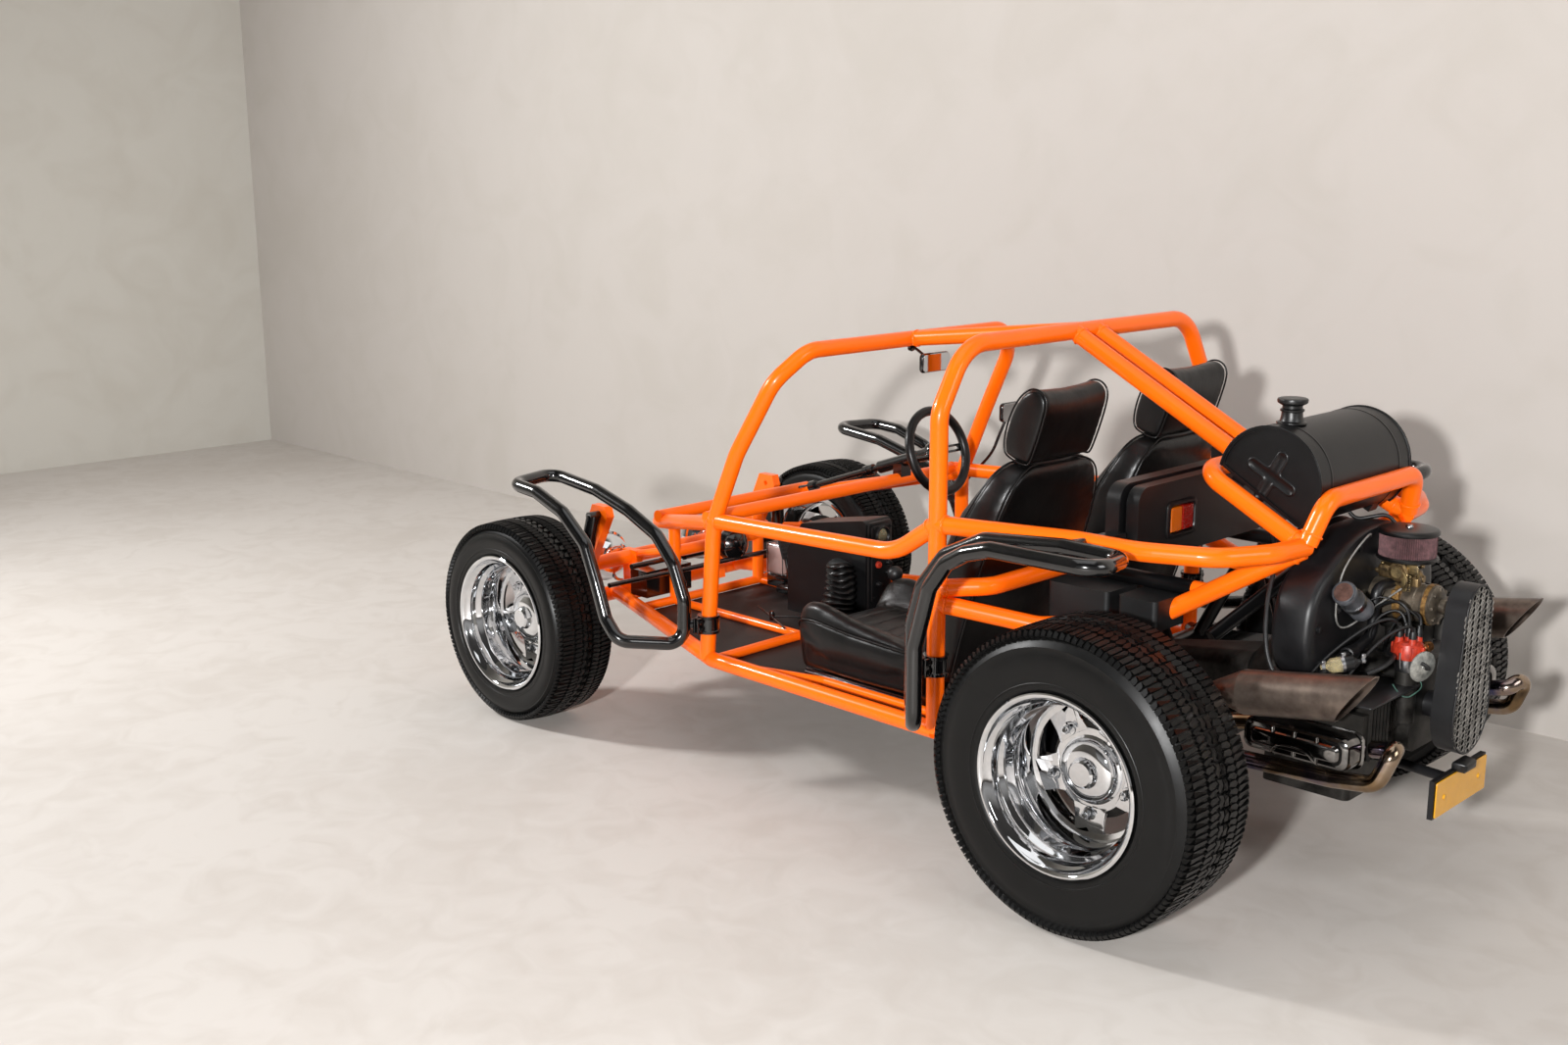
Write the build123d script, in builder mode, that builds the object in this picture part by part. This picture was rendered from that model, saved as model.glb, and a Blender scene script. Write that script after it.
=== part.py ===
"""An open two-seat dune buggy with a tubular frame and an air-cooled flat-four engine behind the rear axle.

Millimetres. X runs forward with zero at the rear axle, Y to the vehicle's left, Z up from the ground.
Each finished piece is moved along X by REAR_AXLE_X, which puts the middle of the whole car at the origin.
"""
from build123d import *
import math
import os

os.makedirs("parts", exist_ok=True)

# Driving dimensions
REAR_AXLE_X = -889.0
WHEELBASE = 2057.0
MAIN_R = 22.2  # main frame tube
ROOF_R = 21.8  # roof spine and rear stays
LIGHT_R = 19.0  # dash bar, posts and fender loops
SMALL_R = 12.5  # floor tubes and links
RAIL_Z = 300.0  # centreline of the bottom rails
HOOP_X = 506.0
HOOP_Y = 580.0
HOOP_TOP_Z = 1244.0
PILLAR_X = 1350.0
WAIST_Z = 835.0
FLOOR_TOP_Z = 277.5
FLOOR_SHEET = 3.0
CRADLE_X, CRADLE_Y = -270.0, 250.0  # joint of the rear rail, tank cradle and rear diagonal
CRANK_Z = 460.0
FIN_GAP = 0.3  # clearance between neighbours that only look seated
SEAT_Y = 280.0
SEAT_LEAN = 17.5
COLUMN_TILT = 18.8
STEER_X, STEER_Z = 1226.0, 805.0

BEAM_X = 2150.0
BEAM_R = 24.0
BEAM_HEIGHTS = (290.0, 400.0)

# Wheels: axle X, track half, tyre radius, tyre width, depth of the disc inboard of the outer flange
RIM_SEAT_R = 190.3
RIM_FLANGE_R = 207.5
RIM_INSIDE_R = 184.0
WHEEL_TABLE = (
    # name, axle_x, centre_y, tyre_r, width, dish
    ("front", WHEELBASE, 684.0, 308.0, 208.0, 120.0),
    ("rear", 0.0, 671.0, 349.0, 242.0, 145.0),
)


def save(builder, name):
    """Write one finished piece in the car's own frame."""
    piece = builder.part.moved(Location((REAR_AXLE_X, 0, 0)))
    piece.label = name
    export_step(piece, f"parts/{name}.step")


def add_tube(points, radius, bend=None):
    """Add a round tube along straight runs, its corners bent to one radius or a list of them."""
    with BuildLine() as path:
        if bend:
            FilletPolyline(*points, radius=bend)
        else:
            Line(*points)
    with BuildSketch(Plane(origin=path.line @ 0, z_dir=path.line % 0)) as section:
        Circle(radius)
    sweep(section.sketch, path=path.line)


def add_loop(inner, outer, radius, bend):
    """Add a closed loop of round tube from an inner and an outer run, which meet halfway across."""
    front = (Vector(inner[0]) + Vector(outer[-1])) / 2
    back = (Vector(inner[-1]) + Vector(outer[0])) / 2
    add_tube([front, *inner, back], radius, bend)
    add_tube([back, *outer, front], radius, bend)


def both_sides(points):
    """The points on the left and the same points on the right."""
    return points, [(x, -y, z) for x, y, z in points]


def across(points):
    """One run over both sides: the left points, then their mirror images in reverse."""
    left, right = both_sides(points)
    return left + right[::-1]


def add_bar(start, end, radius):
    """Add a straight round bar between two points."""
    add_tube((start, end), radius)


# Frame
with BuildPart() as main_hoop:
    # legs, large upper corners and the roof bar
    add_tube(across([(HOOP_X, HOOP_Y, RAIL_Z - 4), (HOOP_X, HOOP_Y, 1090), (HOOP_X, 487, HOOP_TOP_Z)]), MAIN_R,
             [90, 130, 130, 90])
    # belt bar behind the seats, cranked rearward between the legs
    add_tube(across([(HOOP_X, HOOP_Y, 662), (402, 500, 670)]), MAIN_R, 60)

with BuildPart() as windscreen_hoop:
    pillar = [(PILLAR_X + 8, 565, RAIL_Z), (1345, 545, 690), (1254, 540, 895), (1140, 510, 1100), (1098, 420, 1180)]
    add_tube(across(pillar), MAIN_R, [260, 300, 110, 90, 90, 110, 300, 260])
    # dash bar
    add_bar((1372, 548, 700), (1372, -548, 700), LIGHT_R)

with BuildPart() as roof_tubes:
    add_bar((1098, 0, 1180), (HOOP_X, 0, HOOP_TOP_Z), ROOF_R)
    for side in (1, -1):
        add_bar((HOOP_X, side * 47, HOOP_TOP_Z), (0, side * 47, 972), ROOF_R)
    add(windscreen_hoop.part, mode=Mode.SUBTRACT)
    add(main_hoop.part, mode=Mode.SUBTRACT)

with BuildPart() as waist_rails:
    # door rail, hoop, then the rail that runs round the tank to the cradle joint
    waist = [(1347, 545, 697), (650, 570, 725), (HOOP_X, HOOP_Y, 820), (129, 546, WAIST_Z), (-30, 543, WAIST_Z),
             (-190, 480, WAIST_Z), (-255, 360, WAIST_Z), (CRADLE_X, CRADLE_Y - 4, WAIST_Z)]
    for run in both_sides(waist):
        add_tube(run[:3], MAIN_R, 200)
        add_tube(run[2:], MAIN_R, [200, 200, 110, 110])
    add(main_hoop.part, mode=Mode.SUBTRACT)
    add(windscreen_hoop.part, mode=Mode.SUBTRACT)

with BuildPart() as tank_cradle:
    front_cross = across([(CRADLE_X + 5, CRADLE_Y, 838), (-2, 240, 972)])
    add_tube(front_cross, MAIN_R, 60)
    rear_rail = across([(CRADLE_X - 6, CRADLE_Y, 842), (-300, 215, 940)])
    add_tube(rear_rail, MAIN_R, 50)
    add(waist_rails.part, mode=Mode.SUBTRACT)
    add(roof_tubes.part, mode=Mode.SUBTRACT)

with BuildPart() as front_axle_beam:
    for z in BEAM_HEIGHTS:
        add_bar((BEAM_X, 400, z), (BEAM_X, -400, z), BEAM_R)
    # damper towers join the two beam tubes at each end
    tower = [(2118, 262), (2184, 262), (2184, 425), (2098, 612), (2034, 612), (2024, 578), (2112, 420)]
    for y in (385, -355):
        with BuildSketch(Plane.XZ.offset(-y)):
            Polygon(*tower, align=None)
            with Locations((2066, 582)):
                Circle(8, mode=Mode.SUBTRACT)
        extrude(amount=30)
    # clamps that hold the beam to the frame
    for y in (185, -185):
        with Locations((BEAM_X - 6, y, 345)):
            Box(70, 26, 158)

with BuildPart() as floor_frame:
    for run in both_sides([(HOOP_X, HOOP_Y, RAIL_Z), (1335, 566, RAIL_Z), (2128, 272, RAIL_Z)]):
        add_tube(run, MAIN_R, 60)
    floor_z = FLOOR_TOP_Z + SMALL_R
    for side in (1, -1):
        add_bar((1940, side * 190, floor_z), (HOOP_X, side * 190, floor_z), SMALL_R)
        add_bar((1325, side * 560, floor_z), (987, side * 465, floor_z), SMALL_R)
        add_bar((987, side * 465, floor_z), (HOOP_X, side * 465, floor_z), SMALL_R)
    for x, half_width in ((HOOP_X, HOOP_Y), (1352, 555), (1930, 340)):
        add_bar((x, half_width, floor_z + 1.5), (x, -half_width, floor_z + 1.5), SMALL_R + 1.5)
    for node in (main_hoop, windscreen_hoop, front_axle_beam):
        add(node.part, mode=Mode.SUBTRACT)

with BuildPart() as floor_panels:
    outline = [(HOOP_X, 550), (1330, 540), (1925, 325)]
    with BuildSketch(Plane.XY.offset(FLOOR_TOP_Z - FLOOR_SHEET)):
        Polygon(*outline, *[(x, -y) for x, y in outline[::-1]], align=None)
    extrude(amount=FLOOR_SHEET - 0.05)

with BuildPart() as nose_frame:
    # posts of the front bulkhead with the bar over them
    for side in (1, -1):
        add_bar((1930, side * 185, floor_z), (1930, side * 185, 548), LIGHT_R)
        add_tube([(PILLAR_X, side * 540, 688), (1915, side * 262, 566), (1930, side * 185, 545)], MAIN_R, 28)
        add_bar((1930, side * 185, 455), (2130, side * 185, 410), SMALL_R)
        add_bar((1845, side * 290, 572), (1840, side * 290, 600), LIGHT_R)
    add_bar((1840, 330, 602), (1840, -330, 602), LIGHT_R)
    add_bar((1930, 185, 450), (1930, -185, 450), LIGHT_R)
    for node in (windscreen_hoop, waist_rails, front_axle_beam, floor_frame):
        add(node.part, mode=Mode.SUBTRACT)

with BuildPart() as rear_subframe:
    for side in (1, -1):
        add_bar((CRADLE_X + 3, side * CRADLE_Y, 828), (74, side * 350, 613), MAIN_R)
        add_bar((-75, side * 300, 706), (402, side * 300, 706), LIGHT_R)
        add_tube([(74, side * 350, 613), (280, side * 470, 590), (HOOP_X, side * HOOP_Y, 625)], MAIN_R, 150)
        # down tubes to the torsion housing
        add_bar((280, side * 466, 590), (396, side * 430, 336), LIGHT_R)
        add_bar((40, side * 336, 630), (150, side * 95, 470), LIGHT_R)
        add_bar((HOOP_X, side * HOOP_Y, 330), (400, side * 475, 332), LIGHT_R)
    # torsion housing
    add_bar((400, 490, 332), (400, -490, 332), 42)
    for node in (main_hoop, waist_rails, tank_cradle, floor_frame):
        add(node.part, mode=Mode.SUBTRACT)

# Front suspension and steering
KINGPIN_Y = 545.0
KINGPIN_R = 15.0
KINGPIN_EYES = {290.0: 262.0, 400.0: 400.0}  # height of each arm's eye, by the beam tube that carries it
with BuildPart() as front_arms:
    for side in (1, -1):
        for z in BEAM_HEIGHTS:
            add_bar((BEAM_X, side * (400 + FIN_GAP), z), (BEAM_X, side * 432, z), BEAM_R + 4)
            eye_z = KINGPIN_EYES[z]
            add_tube([(BEAM_X, side * 430, z), (2128, side * 478, z), (2070, side * 530, eye_z)], 14, 22)
            # eye that holds the king-pin
            with Locations((WHEELBASE, side * KINGPIN_Y, eye_z)):
                Cylinder(25, 30)
                Cylinder(KINGPIN_R + 0.05, 30, mode=Mode.SUBTRACT)
    add(front_axle_beam.part, mode=Mode.SUBTRACT)

with BuildPart() as front_dampers:
    for side in (1, -1):
        foot, head = (2096, side * 452, 318), (2066, side * 404, 582)
        add_bar(foot, (2084, side * 432, 430), 17)
        add_bar((2084, side * 432, 430), head, 23)
        add_bar((2066, side * (385 + FIN_GAP), 582), (2066, side * 425, 582), 14)
    for node in (front_arms, front_axle_beam):
        add(node.part, mode=Mode.SUBTRACT)

with BuildPart() as steering_rods:
    # long black rod above the beam, the damper before it and the steering box behind the bulkhead
    add_bar((1975, 330, 418), (1975, -60, 418), 9)
    add_bar((1975, 110, 418), (1975, -60, 418), 16)
    add_bar((1900, 482, 398), (1868, -476, 398), 8)
    with Locations((1995, 190, 352)):
        Box(80, 190, 86)
    with Locations((1985, -250, 400)):
        Box(90, 80, 90)
    add_bar((2040, -250, 380), (2100, -250, 380), 20)
    for node in (nose_frame, front_axle_beam, floor_frame):
        add(node.part, mode=Mode.SUBTRACT)

tilt = math.radians(COLUMN_TILT)
COLUMN_DOWN = (math.cos(tilt), 0, -math.sin(tilt))


def on_column(distance):
    """A point on the steering column, measured down from the wheel's centre."""
    return (STEER_X + distance * COLUMN_DOWN[0], -SEAT_Y, STEER_Z + distance * COLUMN_DOWN[2])


SHAFT_R = 10.0
WHEEL_RIM_R = 126.0
with BuildPart() as steering_column:
    add_bar(on_column(90), on_column(250), 20)
    # bracket up from the dash bar
    with Locations((1372, -SEAT_Y, 728)):
        Box(34, 46, 44)
    add(windscreen_hoop.part, mode=Mode.SUBTRACT)
    add_bar(on_column(90), on_column(250), 20)
    # lower bearing, held to the bar over the bulkhead
    add_bar(on_column(550), on_column(576), 18)
    add_bar(on_column(563), (1840, -SEAT_Y, 602), 9)
    add(nose_frame.part, mode=Mode.SUBTRACT)
    with BuildSketch(Plane(origin=on_column(60), z_dir=COLUMN_DOWN)):
        Circle(SHAFT_R + 0.05)
    extrude(amount=600, mode=Mode.SUBTRACT)

with BuildPart(Plane(origin=on_column(0), x_dir=(0, 1, 0), z_dir=COLUMN_DOWN)) as steering_wheel:
    Torus(WHEEL_RIM_R, 14)
    with Locations((0, 0, 18)):
        Cylinder(32, 24)
    with Locations((0, 0, 40)):
        Cylinder(20, 40)
    # three flat spokes fall from the rim to the hub
    for angle in (0, 180, 270):
        spoke = Rotation(0, 0, angle) * Pos(72, 0, 9)
        with Locations(spoke):
            Box(96, 24, 4)
    with Locations((0, 0, 315)):
        Cylinder(SHAFT_R, 530)
    with Locations((0, 0, 300)):
        Cylinder(17, 44)

# Wheels and knuckles
NUT_CIRCLE_R = 102.5
for end, axle_x, centre_y, tyre_r, width, dish in WHEEL_TABLE:
    for side_name, side in (("left", 1), ("right", -1)):
        centre = (axle_x, side * centre_y, tyre_r)
        outboard = Plane(origin=centre, x_dir=(0, side, 0), z_dir=(side, 0, 0))
        spin = Axis(centre, (0, 1, 0))
        half = width / 2
        flange = half - 4
        bead = flange - 9
        shoulder = half * 0.84
        with BuildPart() as tyre:
            with BuildSketch(outboard):
                with BuildLine():
                    Line((-bead, RIM_SEAT_R), (bead, RIM_SEAT_R))
                    Line((bead, RIM_SEAT_R), (bead, RIM_FLANGE_R + 2))
                    Line((bead, RIM_FLANGE_R + 2), (half - 2, RIM_FLANGE_R + 14))
                    ThreePointArc((half - 2, RIM_FLANGE_R + 14), (half, tyre_r - 60), (shoulder + 5, tyre_r - 16))
                    Line((shoulder + 5, tyre_r - 16), (shoulder - 14, tyre_r - 3))
                    ThreePointArc((shoulder - 14, tyre_r - 3), (0, tyre_r), (14 - shoulder, tyre_r - 3))
                    Line((14 - shoulder, tyre_r - 3), (-shoulder - 5, tyre_r - 16))
                    ThreePointArc((-shoulder - 5, tyre_r - 16), (-half, tyre_r - 60), (2 - half, RIM_FLANGE_R + 14))
                    Line((2 - half, RIM_FLANGE_R + 14), (-bead, RIM_FLANGE_R + 2))
                    Line((-bead, RIM_FLANGE_R + 2), (-bead, RIM_SEAT_R))
                make_face()
            revolve(axis=spin)
        disc = flange - dish
        with BuildPart() as rim:
            # barrel with both flanges and the drop centre
            with BuildSketch(outboard):
                Polygon((-flange, RIM_FLANGE_R), (-flange, RIM_INSIDE_R), (-flange * 0.3, RIM_INSIDE_R - 16),
                        (flange * 0.3, RIM_INSIDE_R - 16), (flange, RIM_INSIDE_R), (flange, RIM_FLANGE_R),
                        (bead, RIM_FLANGE_R), (bead, RIM_SEAT_R), (-bead, RIM_SEAT_R), (-bead, RIM_FLANGE_R),
                        align=None)
            revolve(axis=spin)
            # dished centre: bowl, nave and cap in one turned profile
            with BuildSketch(outboard):
                Polygon((disc + 4, 176), (disc + 2, 146), (disc - 2, 132), (disc, 112), (disc, 79), (disc + 5, 74),
                        (disc + 17, 71), (disc + 26, 58), (disc + 29, 35), (disc + 42, 32), (disc + 47, 26),
                        (disc + 47, 0), (disc - 9, 0), (disc - 9, 108), (disc - 8, 132), (disc - 4, 176), align=None)
            revolve(axis=spin)
            # five windows between the arms
            with BuildSketch(Plane(origin=centre, x_dir=(1, 0, 0), z_dir=(0, side, 0)).offset(disc - 60)):
                with PolarLocations(122, 5, start_angle=90):
                    Trapezoid(100, 56, 60, rotation=90)
            extrude(amount=90, mode=Mode.SUBTRACT)
            # five wheel nuts
            with BuildSketch(Plane(origin=centre, x_dir=(1, 0, 0), z_dir=(0, side, 0)).offset(disc - 1)):
                with PolarLocations(NUT_CIRCLE_R, 5, start_angle=54):
                    RegularPolygon(11.5, 6)
            extrude(amount=21)
            # brake drum and stub axle
            with BuildSketch(outboard):
                Polygon((disc - 9, 0), (disc - 9, 100), (disc - 20, 112), (disc - 56, 112), (disc - 56, 0), align=None)
            revolve(axis=spin)
            if end == "rear":
                axle_end = disc - 56
                with BuildSketch(outboard):
                    Polygon((axle_end, 0), (axle_end, 16), (-181, 16), (-181, 44), (-222, 44), (-222, 20), (-236, 14),
                            (-456, 14), (-470, 20), (-470, 44), (-514, 44), (-514, 0), align=None)
                revolve(axis=spin)
        save(tyre, f"tyre_{end}_{side_name}")
        save(rim, f"rim_{end}_{side_name}")

for side_name, side in (("left", 1), ("right", -1)):
    with BuildPart() as knuckle:
        with Locations((WHEELBASE, side * KINGPIN_Y, 331)):
            Cylinder(KINGPIN_R, 184)
            Cylinder(22, 96)
        with Locations((WHEELBASE, side * (KINGPIN_Y + 14), 308)):
            Cylinder(24, 40, rotation=(90, 0, 0))
        # steering arm, rearward and a little inboard
        add_bar((WHEELBASE, side * KINGPIN_Y, 345), (1905, side * 520, 345), 9)
        with Locations((1900, side * 520, 349)):
            Cylinder(13, 24)
        # back plate of the brake
        with Locations((WHEELBASE, side * 573, 308)):
            Cylinder(108, 5, rotation=(90, 0, 0))
    save(knuckle, f"knuckle_{side_name}")

# Rear suspension
with BuildPart() as rear_arms:
    for side in (1, -1):
        with BuildSketch(Plane.XZ.offset(-side * 505)):
            with BuildLine():
                Polyline((400, 300), (30, 300), (-50, 320), (-50, 378), (30, 398), (400, 364), (400, 300))
            make_face()
        extrude(amount=6, both=True)
        with Locations((0, side * 520, 349)):
            Cylinder(52, 42, rotation=(90, 0, 0))
        with Locations((400, side * 505, 332)):
            Cylinder(50, 20, rotation=(90, 0, 0))
        with Locations((0, side * 500, 349)):
            Cylinder(30, 160, rotation=(90, 0, 0), mode=Mode.SUBTRACT)
        # damper from the arm up to the subframe
        add_bar((122, side * 470, 352), (168, side * 432, 570), 24)
        add_bar((122, side * 500, 345), (122, side * 470, 345), 12)
    add(rear_subframe.part, mode=Mode.SUBTRACT)

with BuildPart() as gearbox:
    # bell housing, then the box itself
    with BuildSketch(Plane.YZ.offset(-148)) as wide_end:
        with Locations((0, CRANK_Z)):
            Circle(148)
    with BuildSketch(Plane.YZ.offset(-60)) as narrow_end:
        with Locations((0, 430)):
            Circle(92)
    loft(sections=[wide_end.sketch, narrow_end.sketch])
    with BuildSketch(Plane.YZ.offset(-61)) as box_back:
        with Locations((0, 415)):
            RectangleRounded(180, 190, 40)
    with BuildSketch(Plane.YZ.offset(250)) as box_front:
        with Locations((0, 395)):
            RectangleRounded(110, 130, 30)
    loft(sections=[box_back.sketch, box_front.sketch])
    # output flanges for the half shafts
    with Locations((0, 0, 349)):
        Cylinder(62, 300, rotation=(90, 0, 0))

# Engine: an open flat four behind the gearbox
with BuildPart() as engine_case:
    with BuildSketch(Plane.YZ.offset(-467)):
        with Locations((0, CRANK_Z)):
            RectangleRounded(180, 200, 30)
    extrude(amount=318)
    # sump and tray below
    with BuildSketch(Plane.XY.offset(222)):
        with Locations((-240, 0)):
            RectangleRounded(220, 250, 18)
    extrude(amount=140)
    with BuildSketch(Plane.YZ.offset(-149)):
        with Locations((0, CRANK_Z)):
            Circle(150)
    extrude(amount=-22)
    # generator stand and distributor boss
    with BuildSketch(Plane.XY.offset(540)):
        with Locations((-410, 0)):
            RectangleRounded(90, 74, 14)
    extrude(amount=105)
    with Locations((-455, 100, 510)):
        Cylinder(24, 140)
    add(gearbox.part, mode=Mode.SUBTRACT)

CYLINDER_XS = (-270.0, -395.0)
with BuildPart() as cylinder_banks:
    for side in (1, -1):
        for x in CYLINDER_XS:
            with Locations((x, side * 150, CRANK_Z)):
                Cylinder(50, 120, rotation=(90, 0, 0))
            # cooling fins of one barrel
            with Locations(*[(x, side * y, CRANK_Z) for y in range(100, 208, 12)]):
                Cylinder(61, 4, rotation=(90, 0, 0))
        # cylinder head with its own fins
        with Locations((-340, side * 268, CRANK_Z)):
            Box(262, 120, 96)
        with Locations(*[(-340, side * y, CRANK_Z + 4) for y in range(222, 318, 16)]):
            Box(276, 5, 124)
        # push-rod tubes under the barrels
        for x in (-250, -290, -375, -415):
            add_bar((x, side * 88, CRANK_Z - 66), (x, side * 215, CRANK_Z - 46), 9)
    add(engine_case.part, mode=Mode.SUBTRACT)

with BuildPart() as rocker_covers:
    for side in (1, -1):
        with BuildSketch(Plane.XZ.offset(-side * 328)) as foot:
            with Locations((-345, CRANK_Z - 30)):
                RectangleRounded(266, 84, 26)
        with BuildSketch(Plane.XZ.offset(-side * 392)) as crown:
            with Locations((-345, CRANK_Z - 30)):
                RectangleRounded(244, 62, 20)
        loft(sections=[foot.sketch, crown.sketch])
        with Locations((-345, side * 394, CRANK_Z - 30)):
            Box(150, 8, 20)

SHROUD_FRONT, SHROUD_BACK = -225.0, -325.0
with BuildPart() as fan_shroud:
    with BuildSketch(Plane.YZ.offset(SHROUD_BACK)):
        with BuildLine():
            Polyline((-318, 706), (-318, 566), (-270, 528), (270, 528), (318, 566), (318, 706))
            ThreePointArc((318, 706), (232, 786), (120, 838))
            ThreePointArc((120, 838), (0, 855), (-120, 838))
            ThreePointArc((-120, 838), (-232, 786), (-318, 706))
        make_face()
    extrude(amount=SHROUD_FRONT - SHROUD_BACK)
    fillet(fan_shroud.edges().group_by(Axis.X)[0], 14)
    fillet(fan_shroud.edges().group_by(Axis.X)[-1], 14)
    # round bulge over the fan
    with BuildSketch(Plane.YZ.offset(SHROUD_FRONT - 2)):
        with Locations((0, 700)):
            Circle(160)
    extrude(amount=26, taper=14)
    # cooling tinware that spreads over the barrels
    for side in (1, -1):
        with Locations((-335, side * 205, 526)):
            Box(300, 236, 4)
    add(cylinder_banks.part, mode=Mode.SUBTRACT)
    add(engine_case.part, mode=Mode.SUBTRACT)

with BuildPart() as generator:
    add_bar((SHROUD_BACK - FIN_GAP, 0, 690), (-480, 0, 690), 45)
    add_bar((-480, 0, 690), (-515, 0, 690), 12)
    add(engine_case.part, mode=Mode.SUBTRACT)

with BuildPart() as carburettor:
    with Locations((-392, 0, 762)):
        Box(64, 74, 44)
    with Locations((-392, 0, 744)):
        Cylinder(24, 20)
    with Locations((-392, -46, 764)):
        Cylinder(16, 22, rotation=(90, 0, 0))
    for side in (1, -1):
        add_tube([(-372, side * 20, 748), (-362, side * 66, 738), (-358, side * 72, 610), (-352, side * 262, 574),
                  (-345, side * 285, 522)], 13, [16, 40, 26])
    for node in (generator, cylinder_banks, fan_shroud, engine_case):
        add(node.part, mode=Mode.SUBTRACT)

with BuildPart() as air_filter:
    with Locations((-392, 0, 820)):
        Cylinder(62, 58)
    with Locations((-392, 0, 787)):
        Cylinder(66, 6)
    with Locations((-392, 0, 852)):
        Cylinder(66, 6)
        with Locations((0, 0, 8)):
            Cylinder(8, 12)
    add(carburettor.part, mode=Mode.SUBTRACT)

with BuildPart() as distributor:
    with Locations((-455, 100, 593)):
        Cylinder(26, 26)
    with Locations((-455, 100, 616)):
        Cylinder(35, 20)
    with Locations((-455, 100, 634)):
        Cylinder(7, 24)
    with Locations((-455, 100, 632)):
        with PolarLocations(22, 4):
            Cylinder(6, 18)
    # vacuum disc
    with Locations((-500, 100, 598)):
        Cylinder(34, 16, rotation=(0, 90, 0))
    add_bar((-478, 100, 598), (-494, 100, 598), 6)
    add(engine_case.part, mode=Mode.SUBTRACT)

with BuildPart() as ignition_coil:
    add_bar((-354, 222, 742), (-354, 124, 682), 27)
    add_bar((-354, 124, 682), (-354, 105, 670), 11)

GUARD_BACK, GUARD_FRONT = -565.0, -515.0
GENERATOR_Z = 690.0
with BuildPart() as belt_guard:
    with BuildSketch(Plane.YZ.offset(GUARD_BACK)):
        with Locations((0, CRANK_Z)):
            Circle(95)
        with Locations((0, GENERATOR_Z)):
            Circle(65)
        make_hull()
    extrude(amount=GUARD_FRONT - GUARD_BACK)
    offset(amount=-3, openings=belt_guard.faces().sort_by(Axis.X)[0], kind=Kind.INTERSECTION)
    add(generator.part, mode=Mode.SUBTRACT)
    with Locations((-490, 0, CRANK_Z)):
        Cylinder(30, 60, rotation=(0, 90, 0))
    add(engine_case.part, mode=Mode.SUBTRACT)

with BuildPart() as pulleys:
    for z, radius in ((CRANK_Z, 80), (GENERATOR_Z, 50)):
        with BuildSketch(Plane.XZ):
            Polygon((-520, z), (-520, z + radius), (-530, z + radius - 9), (-540, z + radius), (-540, z), align=None)
        revolve(axis=Axis((0, 0, z), (1, 0, 0)))
    add(generator.part, mode=Mode.SUBTRACT)
    add(belt_guard.part, mode=Mode.SUBTRACT)

MEGAPHONE_Y = 432.0
with BuildPart() as header_pipes:
    for side in (1, -1):
        rear_port = [(-480, side * 296, 430), (-530, side * 300, 440), (-556, side * 346, 468),
                     (-520, side * 354, 375), (-420, side * 350, 360), (-190, side * 352, 352),
                     (-78, side * 400, 372), (-62, side * MEGAPHONE_Y, 500), (-172, side * MEGAPHONE_Y, 525)]
        add_tube(rear_port, 19, [26, 22, 40, 40, 60, 60, 50])
        add_tube([(-200, side * 296, 425), (-150, side * 318, 420), (-92, side * 392, 378)], 19, 60)
    for node in (cylinder_banks, rocker_covers):
        add(node.part, mode=Mode.SUBTRACT)

with BuildPart() as megaphones:
    slope = math.radians(9.4)
    for side in (1, -1):
        inlet = Plane(origin=(-172, side * MEGAPHONE_Y, 525), z_dir=(-math.cos(slope), 0, math.sin(slope)))
        with BuildSketch(inlet) as small_end:
            Circle(21)
        with BuildSketch(inlet.offset(78)) as large_end:
            Circle(50)
        loft(sections=[small_end.sketch, large_end.sketch])
        with BuildSketch(inlet.offset(78)):
            Circle(50)
        extrude(amount=300)
        # open tip with a thin wall
        with BuildSketch(inlet.offset(120)):
            Circle(47)
        extrude(amount=300, mode=Mode.SUBTRACT)
    # slash cut of both tips
    with BuildSketch(Plane.XZ):
        Polygon((-446, 500), (-542, 640), (-700, 640), (-700, 500), align=None)
    extrude(amount=600, both=True, mode=Mode.SUBTRACT)
    # hanger straps from the rear of each megaphone to the head
    for side in (1, -1):
        add_bar((-300, side * (MEGAPHONE_Y - 46), 540), (-300, side * 318, 505), 6)
    for node in (header_pipes, cylinder_banks, rocker_covers, fan_shroud):
        add(node.part, mode=Mode.SUBTRACT)

# Tank, lamps and boxes at the back
FILLER_X, FILLER_Y = -158.0, 131.0
TANK_HALF = 220.0
with BuildPart() as fuel_tank:
    with BuildSketch(Plane.XZ.offset(-TANK_HALF)) as tank_end:
        with BuildLine():
            ThreePointArc((-35.4, 986.1), (-221.9, 1069.4), (-237.6, 865.8))
            Line((-237.6, 865.8), (-35.4, 986.1))
        make_face()
        fillet(tank_end.vertices(), 14)
    extrude(amount=2 * TANK_HALF)
    # rolled rims round both ends, with the end plates set in
    with BuildSketch(Plane.XZ.offset(-TANK_HALF)):
        offset(tank_end.sketch, amount=-7)
    extrude(amount=5, mode=Mode.SUBTRACT)
    with BuildSketch(Plane.XZ.offset(TANK_HALF)):
        offset(tank_end.sketch, amount=-7)
    extrude(amount=-5, mode=Mode.SUBTRACT)
    # filler neck
    with Locations((FILLER_X, FILLER_Y, 1092)):
        Cylinder(22, 40)
    # brackets down to the cradle
    for x, z in ((-58, 952), (-222, 870)):
        for y in (150, -150):
            with Locations(Location((x, y, z), (0, -26.7, 0))):
                Box(34, 40, 26)
    for node in (tank_cradle, roof_tubes, waist_rails):
        add(node.part, mode=Mode.SUBTRACT)

with BuildPart() as filler_cap:
    with Locations((FILLER_X, FILLER_Y, 1118)):
        Cylinder(25, 12)
    with Locations((FILLER_X, FILLER_Y, 1132)):
        Cylinder(33, 16)
    fillet(filler_cap.faces().sort_by(Axis.Z)[-1].edges(), 7)

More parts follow.
